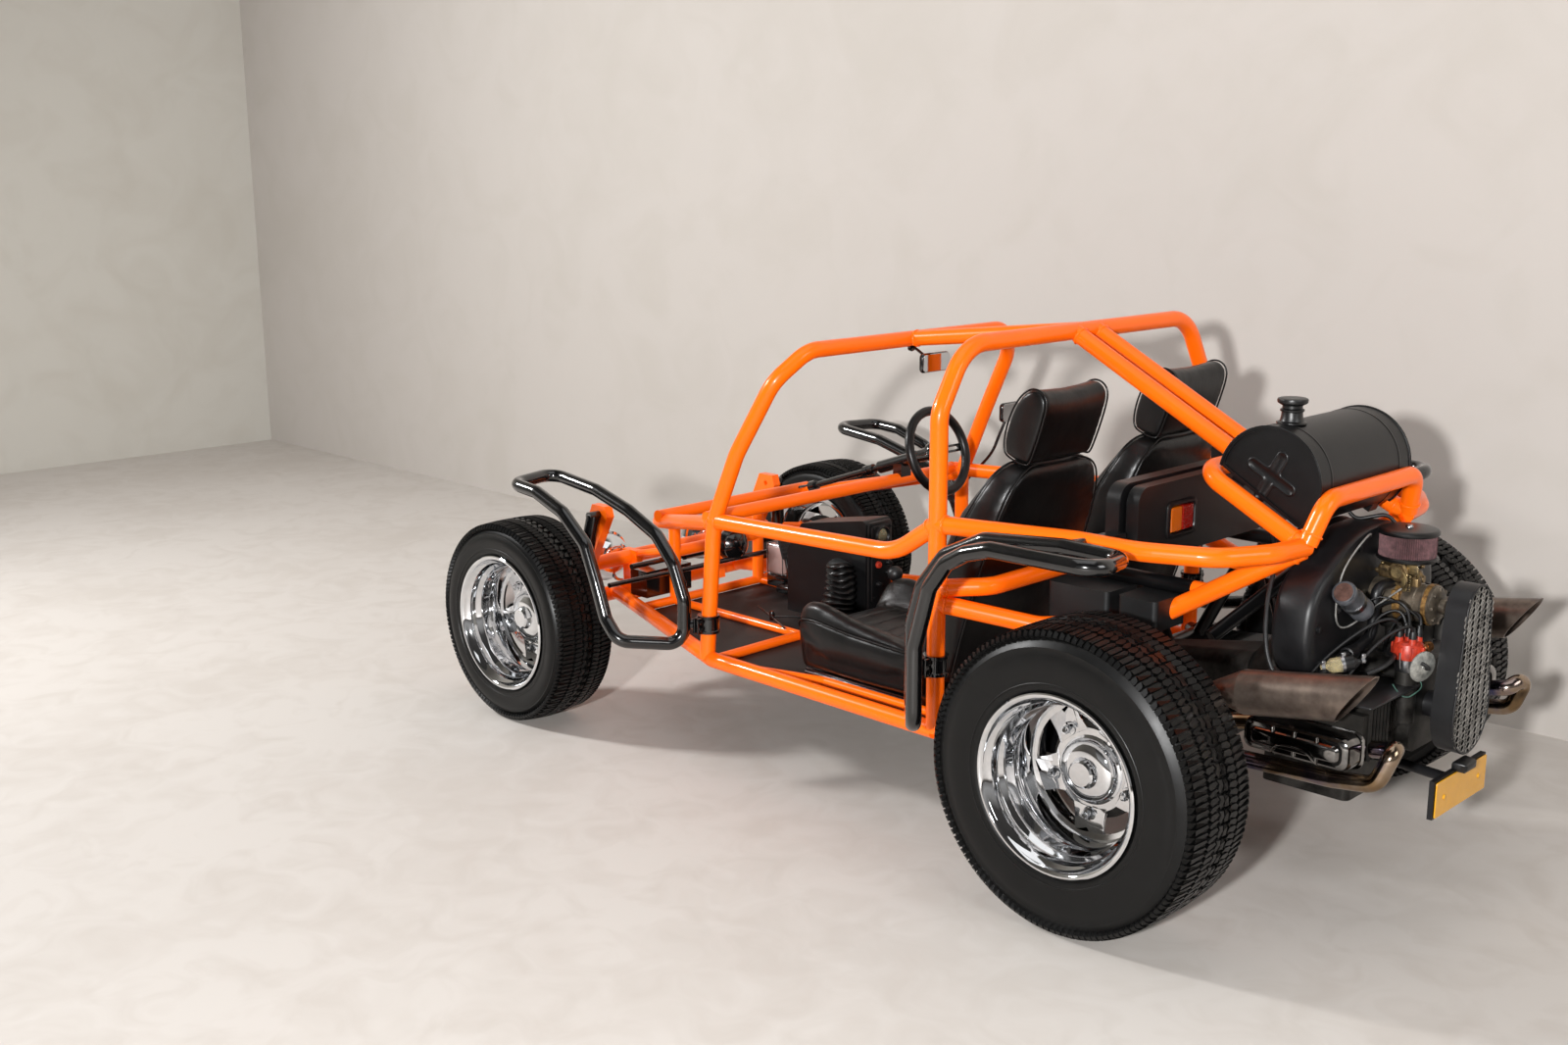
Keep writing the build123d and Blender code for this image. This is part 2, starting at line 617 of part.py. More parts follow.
PANEL_Z = 861.0
PANEL_LAYERS = (
    # x of the rear face, depth, width, height, corner radius
    (40.0, 32.0, 872.0, 176.0, 38.0),
    (70.0, 12.0, 840.0, 150.0, 30.0),
    (80.0, 36.0, 906.0, 188.0, 44.0),
)
LAMP_Y, LAMP_Z = 256.0, 856.0
with BuildPart() as rear_lamp_panel:
    # a moulded slab before and behind, held apart by a smaller core
    for x, depth, width, height, corner in PANEL_LAYERS:
        with BuildSketch(Plane.YZ.offset(x)):
            with Locations((0, PANEL_Z)):
                RectangleRounded(width, height, corner)
        extrude(amount=depth)
    # a pocket for each pair of lamps
    for side in (1, -1):
        with Locations((PANEL_LAYERS[0][0], side * LAMP_Y, LAMP_Z)):
            Box(28, 102, 64, mode=Mode.SUBTRACT)
    # small box on its top edge
    with Locations((100, -25, 977)):
        Box(40, 50, 46)
    # brackets out to the waist rails
    for side in (1, -1):
        with Locations((82, side * 500, WAIST_Z)):
            Box(40, 104, 24)
    for node in (waist_rails, roof_tubes, tank_cradle):
        add(node.part, mode=Mode.SUBTRACT)

with BuildPart() as rear_lamps:
    for side in (1, -1):
        for y in (LAMP_Y - 24.5, LAMP_Y + 24.5):
            with Locations((47, side * y, LAMP_Z)):
                Box(12, 48, 60)

with BuildPart() as battery_boxes:
    for x, length, height in ((216, 172, 86), (52, 104, 72)):
        with Locations((x, 346, 687 - height / 2)):
            Box(length, 128, height)
    fillet(battery_boxes.edges().filter_by(Axis.Z), 12)
    add(rear_subframe.part, mode=Mode.SUBTRACT)

PLATE_Y, PLATE_Z = 30.0, 296.0
with BuildPart() as plate_bracket:
    with Locations((-560, PLATE_Y, PLATE_Z)):
        Box(12, 268, 89)
    add_bar((-540, PLATE_Y, PLATE_Z + 10), (-350, 0, PLATE_Z + 10), 12)
    with Locations((-548, PLATE_Y, PLATE_Z)):
        Box(14, 60, 60)
    # lamp over the plate
    with Locations((-572, PLATE_Y, PLATE_Z + 50)):
        Box(30, 60, 16)
    add(engine_case.part, mode=Mode.SUBTRACT)

with BuildPart() as number_plate:
    with Locations((-567.5, PLATE_Y, PLATE_Z)):
        Box(3, 262, 83)
    with Locations(*[(-567.5, PLATE_Y + y, PLATE_Z) for y in (-90, 90)]):
        Cylinder(3.25, 10, rotation=(0, 90, 0), mode=Mode.SUBTRACT)
    add(plate_bracket.part, mode=Mode.SUBTRACT)

# Fenders: closed loops of black tube over the inner and outer edges of each tyre
FRONT_INNER = [(1982, 759), (1774, 736), (1627, 696), (1503, 643), (1434, 572), (1390, 472), (1394, 344)]
FRONT_OUTER = [(1476, 372), (1530, 425), (1569, 525), (1613, 625), (1713, 704), (1835, 746), (1945, 755)]
with BuildPart() as front_fenders:
    for side in (1, -1):
        inner = [(x, side * 620, z) for x, z in FRONT_INNER]
        outer = [(x, side * 790, z) for x, z in FRONT_OUTER]
        add_loop(inner, outer, LIGHT_R, 45)
        # clamp out from the pillar foot
        add_bar((1354, side * 562, 402), (1400, side * 622, 402), 15)
        with Locations((1354, side * 562, 402)):
            Cylinder(30, 50)
    add(windscreen_hoop.part, mode=Mode.SUBTRACT)

REAR_INNER = [(530, 384), (530, 580), (500, 680), (432, 767), (316, 822), (98, 841), (-60, 838)]
REAR_OUTER = [(-100, 848), (183, 846), (251, 826), (306, 794), (353, 729), (395, 582), (395, 384)]
with BuildPart() as rear_fenders:
    for side in (1, -1):
        inner = [(x, side * 640, z) for x, z in REAR_INNER]
        outer = [(x, side * 790, z) for x, z in REAR_OUTER]
        add_loop(inner, outer, LIGHT_R, 45)
        add_bar((HOOP_X, side * HOOP_Y, 470), (530, side * 640, 470), 15)
        with Locations((HOOP_X, side * HOOP_Y, 470)):
            Cylinder(30, 50)
        add_bar((98, side * 640, 842), (98, side * 546, 836), 12)
    add(main_hoop.part, mode=Mode.SUBTRACT)
    add(waist_rails.part, mode=Mode.SUBTRACT)

# Cabin
with BuildPart() as seat_frames:
    for side in (1, -1):
        for y in (150, 410):
            with Locations((840, side * y, FLOOR_TOP_Z + 17)):
                Box(440, 30, 32)
    add(floor_frame.part, mode=Mode.SUBTRACT)

CUSHION_BACK, CUSHION_FRONT = 638.0, 1090.0
CUSHION_Z = 311.0
BACK_HEIGHT = 598.0
HEADREST_HALF = 131.0
for name, side in (("left", 1), ("right", -1)):
    middle = side * SEAT_Y
    with BuildPart() as cushion:
        with BuildSketch(Plane(origin=(CUSHION_BACK, middle, CUSHION_Z), x_dir=(0, 1, 0), z_dir=(1, 0, 0))):
            Polygon((-200, 0), (200, 0), (220, 40), (220, 150), (196, 186), (160, 178), (120, 122), (-120, 122),
                    (-160, 178), (-196, 186), (-220, 150), (-220, 40), align=None)
        extrude(amount=CUSHION_FRONT - CUSHION_BACK)
    save(cushion, f"seat_cushion_{name}")

    lean = math.radians(SEAT_LEAN)
    back_plane = Plane(origin=(620, middle, 400), x_dir=(0, 1, 0), z_dir=(-math.sin(lean), 0, math.cos(lean)))
    with BuildPart() as back:
        # local Y points rearward, so the front face of the pad is at zero
        with BuildSketch(back_plane):
            Polygon((-130, 0), (130, 0), (176, -56), (206, -52), (220, -20), (214, 70), (150, 92), (-150, 92),
                    (-214, 70), (-220, -20), (-206, -52), (-176, -56), align=None)
        extrude(amount=BACK_HEIGHT)
        # rounded shoulders
        with BuildSketch(Plane(origin=(620, middle, 400), x_dir=(0, 1, 0), z_dir=(math.cos(lean), 0, math.sin(lean)))):
            Polygon((-230, 0), (230, 0), (230, 440), (212, 520), (172, 574), (120, BACK_HEIGHT),
                    (-120, BACK_HEIGHT), (-172, 574), (-212, 520), (-230, 440), align=None)
        extrude(amount=200, both=True, mode=Mode.INTERSECT)
        # the shoulders narrow towards the top and the bolsters stop above the cushion
        with BuildSketch(Plane(origin=(620, middle, 400), x_dir=(0, 1, 0), z_dir=(math.cos(lean), 0, math.sin(lean)))):
            with Locations((0, 60)):
                Rectangle(500, 150)
        extrude(amount=70, mode=Mode.SUBTRACT)
    save(back, f"seat_back_{name}")

    with BuildPart() as headrest:
        # its side view: a bulging front, a round crown and a flat back
        head_foot = back_plane.origin + back_plane.z_dir * BACK_HEIGHT - Vector(0, HEADREST_HALF, 0)
        with BuildSketch(Plane(origin=head_foot, x_dir=back_plane.y_dir, z_dir=(0, 1, 0))):
            Polygon((-14, 0), (-24, 40), (-26, 90), (-16, 140), (6, 178), (34, 196), (58, 192), (74, 168), (80, 90),
                    (76, 0), align=None)
        extrude(amount=2 * HEADREST_HALF)
    save(headrest, f"headrest_{name}")

with BuildPart() as console:
    with BuildSketch(Plane.XZ.offset(-50)):
        Polygon((1222, 303), (1222, 637), (1490, 590), (1552, 500), (1552, 303), align=None)
    extrude(amount=110)
    fillet(console.edges().filter_by(Axis.Y).sort_by(Axis.Z)[-2:], 16)
    # brake lever and gear lever ahead of the seats
    with Locations((1130, 0, 290)):
        Box(70, 60, 24)
    add_bar((1130, 0, 300), (1150, 0, 470), 8)
    with Locations((1150, 0, 480)):
        Sphere(22)
    add(floor_frame.part, mode=Mode.SUBTRACT)

with BuildPart() as pedal_gear:
    with Locations((1824, -200, 375)):
        Box(76, 83, 96)
    with Locations((1824, -200, 430)):
        Cylinder(24, 18)
    for y in (-150, -235, -320):
        add_bar((1740, y, 300), (1765, y, 420), 8)
        with Locations(Location((1765, y, 430), (0, 20, 0))):
            Box(10, 56, 66)
    with Locations((1742, -235, 300)):
        Box(60, 240, 24)
    with Locations((1830, -200, 306)):
        Box(90, 60, 46)
    add(floor_frame.part, mode=Mode.SUBTRACT)

with BuildPart() as headlamps:
    for side in (1, -1):
        # bowl behind a chrome rim and a shallow lens
        with BuildSketch(Plane.XZ.offset(-side * 215)):
            Polygon((2186, 390), (2186, 420), (2198, 446), (2218, 461), (2240, 466), (2240, 474), (2262, 474),
                    (2262, 464), (2272, 430), (2276, 390), align=None)
        revolve(axis=Axis((2186, side * 215, 390), (1, 0, 0)))
        with Locations((2180, side * 215, 390)):
            Box(24, 30, 30)
    add(front_axle_beam.part, mode=Mode.SUBTRACT)

with BuildPart() as mirrors:
    with Locations((1010, 0, 1120)):
        Box(12, 120, 55)
    add_bar((1014, 0, 1124), (1094, 0, 1158), 6)
    # right door mirror
    add_tube([(1352, -548, 640), (1300, -566, 700), (1243, -572, 760), (1212, -600, 873)], 6, 20)
    with Locations((1206, -606, 893)):
        Box(24, 90, 62)
    add(windscreen_hoop.part, mode=Mode.SUBTRACT)
    add(waist_rails.part, mode=Mode.SUBTRACT)
    add(roof_tubes.part, mode=Mode.SUBTRACT)

FINISHED = {
    "main_hoop": main_hoop, "windscreen_hoop": windscreen_hoop, "roof_tubes": roof_tubes,
    "waist_rails": waist_rails, "tank_cradle": tank_cradle, "front_axle_beam": front_axle_beam,
    "floor_frame": floor_frame, "floor_panels": floor_panels, "nose_frame": nose_frame,
    "rear_subframe": rear_subframe, "front_arms": front_arms, "front_dampers": front_dampers,
    "steering_rods": steering_rods, "steering_column": steering_column, "steering_wheel": steering_wheel,
    "rear_arms": rear_arms, "gearbox": gearbox, "engine_case": engine_case, "cylinder_banks": cylinder_banks,
    "rocker_covers": rocker_covers, "fan_shroud": fan_shroud, "generator": generator,
    "carburettor": carburettor, "air_filter": air_filter, "distributor": distributor,
    "ignition_coil": ignition_coil, "belt_guard": belt_guard, "pulleys": pulleys,
    "header_pipes": header_pipes, "megaphones": megaphones, "fuel_tank": fuel_tank, "filler_cap": filler_cap,
    "rear_lamp_panel": rear_lamp_panel, "rear_lamps": rear_lamps, "battery_boxes": battery_boxes,
    "plate_bracket": plate_bracket, "number_plate": number_plate, "front_fenders": front_fenders,
    "rear_fenders": rear_fenders, "seat_frames": seat_frames, "console": console, "pedal_gear": pedal_gear,
    "headlamps": headlamps, "mirrors": mirrors,
}
for name, node in FINISHED.items():
    save(node, name)
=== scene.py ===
"""Looks of an open two-seat dune buggy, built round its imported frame. Metres, in the frame's own axes."""
import math

import bpy
from bpy.props import FloatProperty, FloatVectorProperty, IntProperty, PointerProperty
from mathutils import Matrix, Vector, kdtree


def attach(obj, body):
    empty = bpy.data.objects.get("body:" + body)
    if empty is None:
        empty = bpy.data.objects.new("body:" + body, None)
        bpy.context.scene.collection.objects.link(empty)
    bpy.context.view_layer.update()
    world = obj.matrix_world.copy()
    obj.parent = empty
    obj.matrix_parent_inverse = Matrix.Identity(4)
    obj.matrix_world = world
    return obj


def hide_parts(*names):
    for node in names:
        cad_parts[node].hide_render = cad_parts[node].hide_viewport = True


bl_info = {
    "name": "Dune Buggy Looks",
    "version": (1, 0),
    "blender": (4, 5, 0),
    "location": "View3D > Sidebar > Buggy",
    "description": "Dresses the packed frame of a dune buggy with paint, tyres, seats and engine detail",
    "category": "Object",
}

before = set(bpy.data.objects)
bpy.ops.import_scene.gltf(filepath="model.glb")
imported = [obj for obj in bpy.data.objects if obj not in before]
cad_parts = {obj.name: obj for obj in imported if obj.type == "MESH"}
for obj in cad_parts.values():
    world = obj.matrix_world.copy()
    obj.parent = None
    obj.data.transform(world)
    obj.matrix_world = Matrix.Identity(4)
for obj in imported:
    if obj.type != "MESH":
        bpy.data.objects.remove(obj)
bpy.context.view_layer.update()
MM = 0.001
AXIS_X, AXIS_Y, AXIS_Z = Vector((1, 0, 0)), Vector((0, 1, 0)), Vector((0, 0, 1))
REAR_AXLE_X = -0.889
WHEELBASE = 2.057
FRONT_Y, REAR_Y = 0.684, 0.671
FRONT_R, REAR_R = 0.308, 0.349
WALL_Y = -1.30


def linear(code):
    """An sRGB hex colour as linear red, green, blue and alpha."""
    parts = [int(code[i:i + 2], 16) / 255 for i in (0, 2, 4)]
    return (*[c / 12.92 if c <= 0.04045 else ((c + 0.055) / 1.055) ** 2.4 for c in parts], 1.0)


def colour(title, about, code):
    """A colour setting with its default from a hex code."""
    return FloatVectorProperty(name=title, description=about, subtype="COLOR", size=4, min=0, max=1,
                               default=linear(code))


class BuggyColours(bpy.types.PropertyGroup):
    """Colours that an owner would choose."""
    frame_paint: colour("Frame paint", "Powder coat of every frame tube", "FF6C0A")
    fender_paint: colour("Fender paint", "Gloss enamel of the fender loops", "0B0B0C")
    leather: colour("Leather", "Seat covers", "080707")
    rubber: colour("Rubber", "Tyres", "070707")
    plate: colour("Plate", "Rear number plate", "DB9C02")
    filter_cloth: colour("Filter", "Pleated gauze of the air filter", "6A4A4C")


class BuggySizes(bpy.types.PropertyGroup):
    """Sizes of the details that are added to the frame."""
    voxel: FloatProperty(name="Seat voxel", description="Voxel of the seat remesh", default=8 * MM, unit="LENGTH")
    piping: FloatProperty(name="Piping", description="Radius of the seats' piping", default=2.5 * MM, unit="LENGTH")
    groove: FloatProperty(name="Groove", description="Depth of the tyres' grooves", default=7 * MM, unit="LENGTH")
    pitches: IntProperty(name="Pitches", description="Tread pitches round one tyre", default=66, min=20, max=90)
    mesh_cell: FloatProperty(name="Mesh cell", description="Cell of the belt guard's mesh", default=14.5 * MM,
                             unit="LENGTH")


# Materials

GRAIN_DEPTH = 0.3 * MM  # relief of a surface's fine grain
PAINTED_GLOW = 0.10  # painted glow: how much light the fluorescent paint emits by itself
BLACK_BELOW, BLACK_HALF_WIDTH = 0.565, 0.322  # below this height, and within this half width ahead of the rear axle, the rear subframe is black


def node(tree, kind, links=(), **settings):
    """Add one shader node, set its attributes and inputs, and link its inputs."""
    made = tree.nodes.new(kind)
    for key, value in settings.items():
        if key.startswith("in_"):
            slot = key[3:].replace("_", " ")
            target = made.inputs[int(slot)] if slot.isdigit() else made.inputs[slot]
            target.default_value = value
        else:
            setattr(made, key, value)
    for socket, source in links:
        tree.links.new(source, made.inputs[socket])
    return made


def new_material(name, **sockets):
    """A material with a Principled shader whose plain values are set on its own sockets."""
    material = bpy.data.materials.new(name)
    material.use_nodes = True
    tree = material.node_tree
    shader = tree.nodes["Principled BSDF"]
    for key, value in sockets.items():
        shader.inputs[key.replace("_", " ")].default_value = value
    return material, tree, shader


def ramp_stops(made, stops):
    """Give a colour ramp its stops, from (position, colour) pairs."""
    elements = made.color_ramp.elements
    while len(elements) < len(stops):
        elements.new(0.5)
    for element, (position, shade) in zip(elements, stops):
        element.position = position
        element.color = shade


def calc(tree, operation, links, **settings):
    """The value of one sum."""
    return node(tree, "ShaderNodeMath", links, operation=operation, **settings).outputs["Value"]


def texture(tree, kind, **settings):
    """A noise or cell texture over a piece's own coordinates."""
    place = node(tree, "ShaderNodeTexCoord")
    return node(tree, "ShaderNodeTex" + kind, [("Vector", place.outputs["Object"])], **settings)


def shade_by(tree, shader, fac, stops):
    """Colour a surface through a ramp."""
    shades = node(tree, "ShaderNodeValToRGB", [("Fac", fac)])
    ramp_stops(shades, stops)
    tree.links.new(shades.outputs["Color"], shader.inputs["Base Color"])


def relief(tree, shader, height, strength, distance, under=()):
    """Give a surface fine relief, over what lies under it, and hand on its normal."""
    made = node(tree, "ShaderNodeBump", [("Height", height), *under], in_Strength=strength, in_Distance=distance)
    tree.links.new(made.outputs["Normal"], shader.inputs["Normal"])
    return made.outputs["Normal"]


def mottled(name, light, dark, patch_mm, grain_mm, bump, **sockets):
    """A surface whose colour drifts between two shades in patches, over a fine bump of the given grain size."""
    material, tree, shader = new_material(name, **sockets)
    patches = texture(tree, "Noise", in_Scale=1 / (patch_mm * MM), in_Detail=5.0, in_Roughness=0.6)
    shade_by(tree, shader, patches.outputs["Fac"], [(0.35, dark), (0.65, light)])
    grain = texture(tree, "Noise", in_Scale=1 / (grain_mm * MM), in_Detail=2.0)
    relief(tree, shader, grain.outputs["Fac"], bump, GRAIN_DEPTH)
    return material


def scaled(shade, factor):
    """A colour made lighter or darker."""
    return (*[min(1.0, c * factor) for c in shade[:3]], 1.0)


# Plain mottled finishes: key, name, light and dark shade, size of the patches and of the grain in mm,
# strength of the relief, and the values set on the shader
MOTTLED = (
    # Wrinkle-free satin enamel on sheet steel: broad soft highlights, light dust
    ("satin_enamel", "satin_black_enamel", "141416", "0C0C0E", 45, 1.6, 0.22, dict(Roughness=0.42)),
    # Carburettor die casting: brown-bronze from fuel stain and old passivation
    ("carb_bronze", "stained_zinc_die_casting", "8A7350", "3B3022", 16, 1.2, 0.5, dict(Metallic=0.8, Roughness=0.42)),
    # Generator shell: grey-brown painted steel, greasy
    ("generator_grey", "greasy_grey_shell", "7A6F60", "443D35", 30, 1.4, 0.3, dict(Metallic=0.6, Roughness=0.4)),
    ("rusted_strap", "rust_spotted_strap", "A07B45", "54391F", 10, 0.9, 0.5, dict(Metallic=0.5, Roughness=0.5)),
    # Zinc-plated pressing gone dull: pale grey with cloudy stains
    ("dull_zinc", "dulled_zinc_plate", "C2C2BC", "8B8C88", 12, 0.9, 0.3, dict(Metallic=0.7, Roughness=0.38)),
    ("copper_can", "copper_plated_can", "D99A66", "8E5A34", 10, 0.8, 0.2, dict(Metallic=0.9, Roughness=0.3)),
    # Coil: grey stoved enamel with a lacquered brown base
    ("coil_grey", "grey_stoved_enamel", "5A5C60", "3D3E42", 25, 1.0, 0.15, dict(Roughness=0.36)),
    ("coil_base_brown", "brown_lacquered_base", "6A5048", "4A3832", 14, 1.0, 0.2, dict(Metallic=0.3, Roughness=0.35)),
    ("cable_grey", "grey_cable_sleeve", "8B8A86", "5C5A57", 15, 1.0, 0.1, dict(Roughness=0.4)),
    ("cable_green", "green_vinyl_wire", "4E7466", "35524A", 15, 1.0, 0.05, dict(Roughness=0.35)),
    # Crackle-finish tank paint: satin black with a fine leathery texture
    ("tank_paint", "crackle_black_tank_paint", "0E0E0F", "080809", 50, 3.2, 0.55,
     dict(Roughness=0.38, Specular_IOR_Level=0.35)),
    # Moulded glass-filled plastic: fine spark-eroded grain
    ("moulded_plastic", "moulded_black_plastic", "0E0E0F", "09090A", 30, 1.1, 0.3, dict(Roughness=0.36)),
    ("grey_plastic", "moulded_grey_plastic", "151617", "0E0F10", 40, 1.4, 0.3, dict(Roughness=0.48)),
    # Ribbed rubber matting on the floor sheet, scuffed by shoes
    ("floor_mat", "scuffed_floor_mat", "1C1917", "110F0E", 120, 3.0, 0.5, dict(Roughness=0.62)),
    # Chrome plate on polished steel: nearly a mirror, very faint polishing haze
    ("chrome", "chrome_plate", "E9EAEC", "DADCDF", 50, 9, 0.02, dict(Metallic=1.0, Roughness=0.05)),
    # Chrome of the rocker covers with painted shade for the megaphone's shadow over them: the same mirror, darker
    ("smoked_chrome", "painted_shade_chrome_plate", "8E8C8A", "5E5C5A", 30, 6, 0.04, dict(Metallic=1.0, Roughness=0.1)),
    # Sand-cast aluminium, years old: grey, grainy, darkened by oil in patches
    ("cast_alloy", "aged_cast_aluminium", "3E3C39", "141210", 55, 1.8, 0.6, dict(Metallic=0.75, Roughness=0.5)),
    ("iron_fins", "sooty_cast_iron", "26231F", "0E0D0B", 35, 1.6, 0.5, dict(Metallic=0.6, Roughness=0.6)),
    # Zinc plate with yellow passivation on the carburettor: brassy, stained
    ("yellow_zinc", "yellow_passivated_zinc", "B8A070", "5B5140", 18, 1.4, 0.4, dict(Metallic=0.85, Roughness=0.38)),
    ("bright_alloy", "machined_aluminium", "B9BABC", "8C8C8E", 30, 1.2, 0.15, dict(Metallic=1.0, Roughness=0.3)),
    # Steel of the megaphones, browned by heat and burnished by hand: warm grey with broad soft highlights
    ("burnished_steel", "burnished_exhaust_steel", "8A7B70", "574B44", 80, 1.6, 0.12,
     dict(Metallic=0.85, Roughness=0.36)),
    # Painted shade: a matt black sheet inside the guard stands for the dark there, so that the mesh stands out before
    # it
    ("matt_black", "painted_shade_black_sheet", "0B0B0B", "060606", 40, 1.5, 0.1,
     dict(Roughness=0.8, Specular_IOR_Level=0.2)),
    ("bare_steel", "forged_steel", "7B7A78", "4A4846", 25, 1.5, 0.3, dict(Metallic=0.9, Roughness=0.42)),
    ("rubber_hose", "black_rubber_hose", "161617", "0E0E0F", 20, 1.0, 0.2, dict(Roughness=0.45)),
    # Expanded steel mesh dipped in thin grey-black paint: bare grey shows on its strands
    ("expanded_metal", "thinly_painted_mesh", "8E8A84", "6A6661", 20, 1.2, 0.1, dict(Metallic=0.3, Roughness=0.4)),
    # Phenolic distributor cap: brick red, slightly waxy
    ("red_phenolic", "red_phenolic_moulding", "C23A22", "8E2416", 14, 1.0, 0.15, dict(Roughness=0.35)),
)


def make_materials(colours):
    """Every finish on the buggy, by name."""
    orange = tuple(colours.frame_paint)
    made = {key: mottled(name, linear(light), linear(dark), patch, grain, bump, **values)
            for key, name, light, dark, patch, grain, bump, values in MOTTLED}
    # Fluorescent powder coat, sprayed and baked: glossy, faint orange peel, with a painted glow of its own
    made["powder_coat"] = mottled("fluorescent_powder_coat", orange, scaled(orange, 0.95), 90, 2.6, 0.05,
                                  Roughness=0.3, Coat_Weight=0.3, Coat_Roughness=0.05, Specular_IOR_Level=0.2)
    painted_glow = made["powder_coat"].node_tree.nodes["Principled BSDF"]
    painted_glow.inputs["Emission Color"].default_value = linear("FF5000")
    painted_glow.inputs["Emission Strength"].default_value = PAINTED_GLOW
    # Gloss enamel on steel tube: deep black with sharp highlights
    made["gloss_enamel"] = mottled("gloss_black_enamel", tuple(colours.fender_paint), linear("050506"), 60, 2.2,
                                   0.05, Roughness=0.18, Coat_Weight=0.8, Coat_Roughness=0.05)
    # Chromed header pipe after many hot runs: brown-gold bands with violet and blue at the bends
    made["heat_tint"] = heat_tint_material()
    made["subframe_paint"] = subframe_material(orange)
    # Cowhide with a fine printed grain, waxed by use
    made["leather"] = leather_material(tuple(colours.leather))
    made["rubber"] = rubber_material(tuple(colours.rubber))
    # Retro-reflective yellow sheet under clear acrylic
    made["plate_yellow"] = mottled("reflective_yellow_sheet", tuple(colours.plate),
                                   scaled(tuple(colours.plate), 0.9), 40, 1.5, 0.05, Roughness=0.25,
                                   Coat_Weight=0.6, Coat_Roughness=0.05)
    # Moulded acrylic lenses with a prism pattern behind a smooth face
    made["amber_lens"] = lens_material("amber_acrylic_lens", "C8600A")
    made["red_lens"] = lens_material("red_acrylic_lens", "8E120A")
    made["clear_lens"] = lens_material("clear_glass_lens", "D8DCE0")
    # Pleated cotton gauze, oiled maroon and dusty on the folds
    made["filter_gauze"] = mottled("oiled_filter_gauze", tuple(colours.filter_cloth), linear("4A3436"), 12, 1.0,
                                   0.5, Roughness=0.85)
    made["mirror"], _, _ = new_material("silvered_mirror_glass", Base_Color=linear("C8CACC"), Metallic=1.0,
                                        Roughness=0.02)
    # Brake fluid reservoir: cloudy white moulding, tinted by the fluid inside
    made["fluid_jar"], _, _ = new_material("cloudy_fluid_jar", Base_Color=linear("C9A9A2"), Roughness=0.25,
                                           Transmission_Weight=0.35, IOR=1.49)
    made["clear_plastic"], _, _ = new_material("clear_filter_bowl", Base_Color=linear("E0D2A8"), Roughness=0.1,
                                               Transmission_Weight=0.7, IOR=1.49)
    return made


def subframe_material(orange):
    """Rear subframe: the tubes that show are orange, those low down and between the boxes are black."""
    material = mottled("two_tone_subframe_paint", orange, scaled(orange, 0.95), 90, 2.6, 0.05, Roughness=0.3,
                       Coat_Weight=0.3, Coat_Roughness=0.05, Specular_IOR_Level=0.2)
    tree = material.node_tree
    shader = tree.nodes["Principled BSDF"]
    paint = shader.inputs["Base Color"].links[0].from_socket
    place = node(tree, "ShaderNodeTexCoord")
    axes = node(tree, "ShaderNodeSeparateXYZ", [(0, place.outputs["Object"])])
    spread = calc(tree, "ABSOLUTE", [(0, axes.outputs["Y"])])
    low = calc(tree, "LESS_THAN", [(0, axes.outputs["Z"])], in_1=BLACK_BELOW)
    within = calc(tree, "LESS_THAN", [(0, spread)], in_1=BLACK_HALF_WIDTH)
    ahead = calc(tree, "GREATER_THAN", [(0, axes.outputs["X"])], in_1=REAR_AXLE_X - 0.03)
    inner = calc(tree, "MULTIPLY", [(0, within), (1, ahead)])
    dark = calc(tree, "MAXIMUM", [(0, low), (1, inner)])
    both = node(tree, "ShaderNodeMix", [(0, dark), (6, paint)], data_type="RGBA", in_7=linear("0A0A0B"))
    tree.links.new(both.outputs[2], shader.inputs["Base Color"])
    # painted glow of the orange, none where the subframe is black
    painted_glow = calc(tree, "MULTIPLY_ADD", [(0, dark)], in_1=-PAINTED_GLOW, in_2=PAINTED_GLOW)
    shader.inputs["Emission Color"].default_value = linear("FF5000")
    tree.links.new(painted_glow, shader.inputs["Emission Strength"])
    return material


def heat_tint_material():
    """Chrome whose heat tint changes in soft bands along the pipe."""
    material, tree, shader = new_material("heat_tinted_chrome", Metallic=1.0, Roughness=0.16)
    bands = texture(tree, "Noise", in_Scale=9.0, in_Detail=3.0, in_Distortion=0.6)
    shade_by(tree, shader, bands.outputs["Fac"],
             [(0.30, linear("4E4236")), (0.42, linear("8A7152")), (0.52, linear("A08E7C")),
              (0.60, linear("80727C")), (0.68, linear("4E5070")), (0.76, linear("8C7E70"))])
    return material


def leather_material(shade):
    """Black leather: pebbled cells under a fine crease noise, sheen from wax, paler where it is rubbed."""
    material, tree, shader = new_material("waxed_black_leather", Roughness=0.36, Coat_Weight=0.12,
                                          Coat_Roughness=0.25, Specular_IOR_Level=0.32)
    # pebbles about 3 mm across, drawn coarser than the real 1 mm so that they show
    pebbles = texture(tree, "Voronoi", in_Scale=1 / (3 * MM))
    creases = texture(tree, "Noise", in_Scale=1 / (70 * MM), in_Detail=6.0)
    shade_by(tree, shader, creases.outputs["Fac"], [(0.3, scaled(shade, 0.6)), (0.7, scaled(shade, 1.5))])
    grain = relief(tree, shader, pebbles.outputs["Distance"], 0.25, 0.4 * MM)
    relief(tree, shader, creases.outputs["Fac"], 0.35, 6 * MM, [("Normal", grain)])
    return material


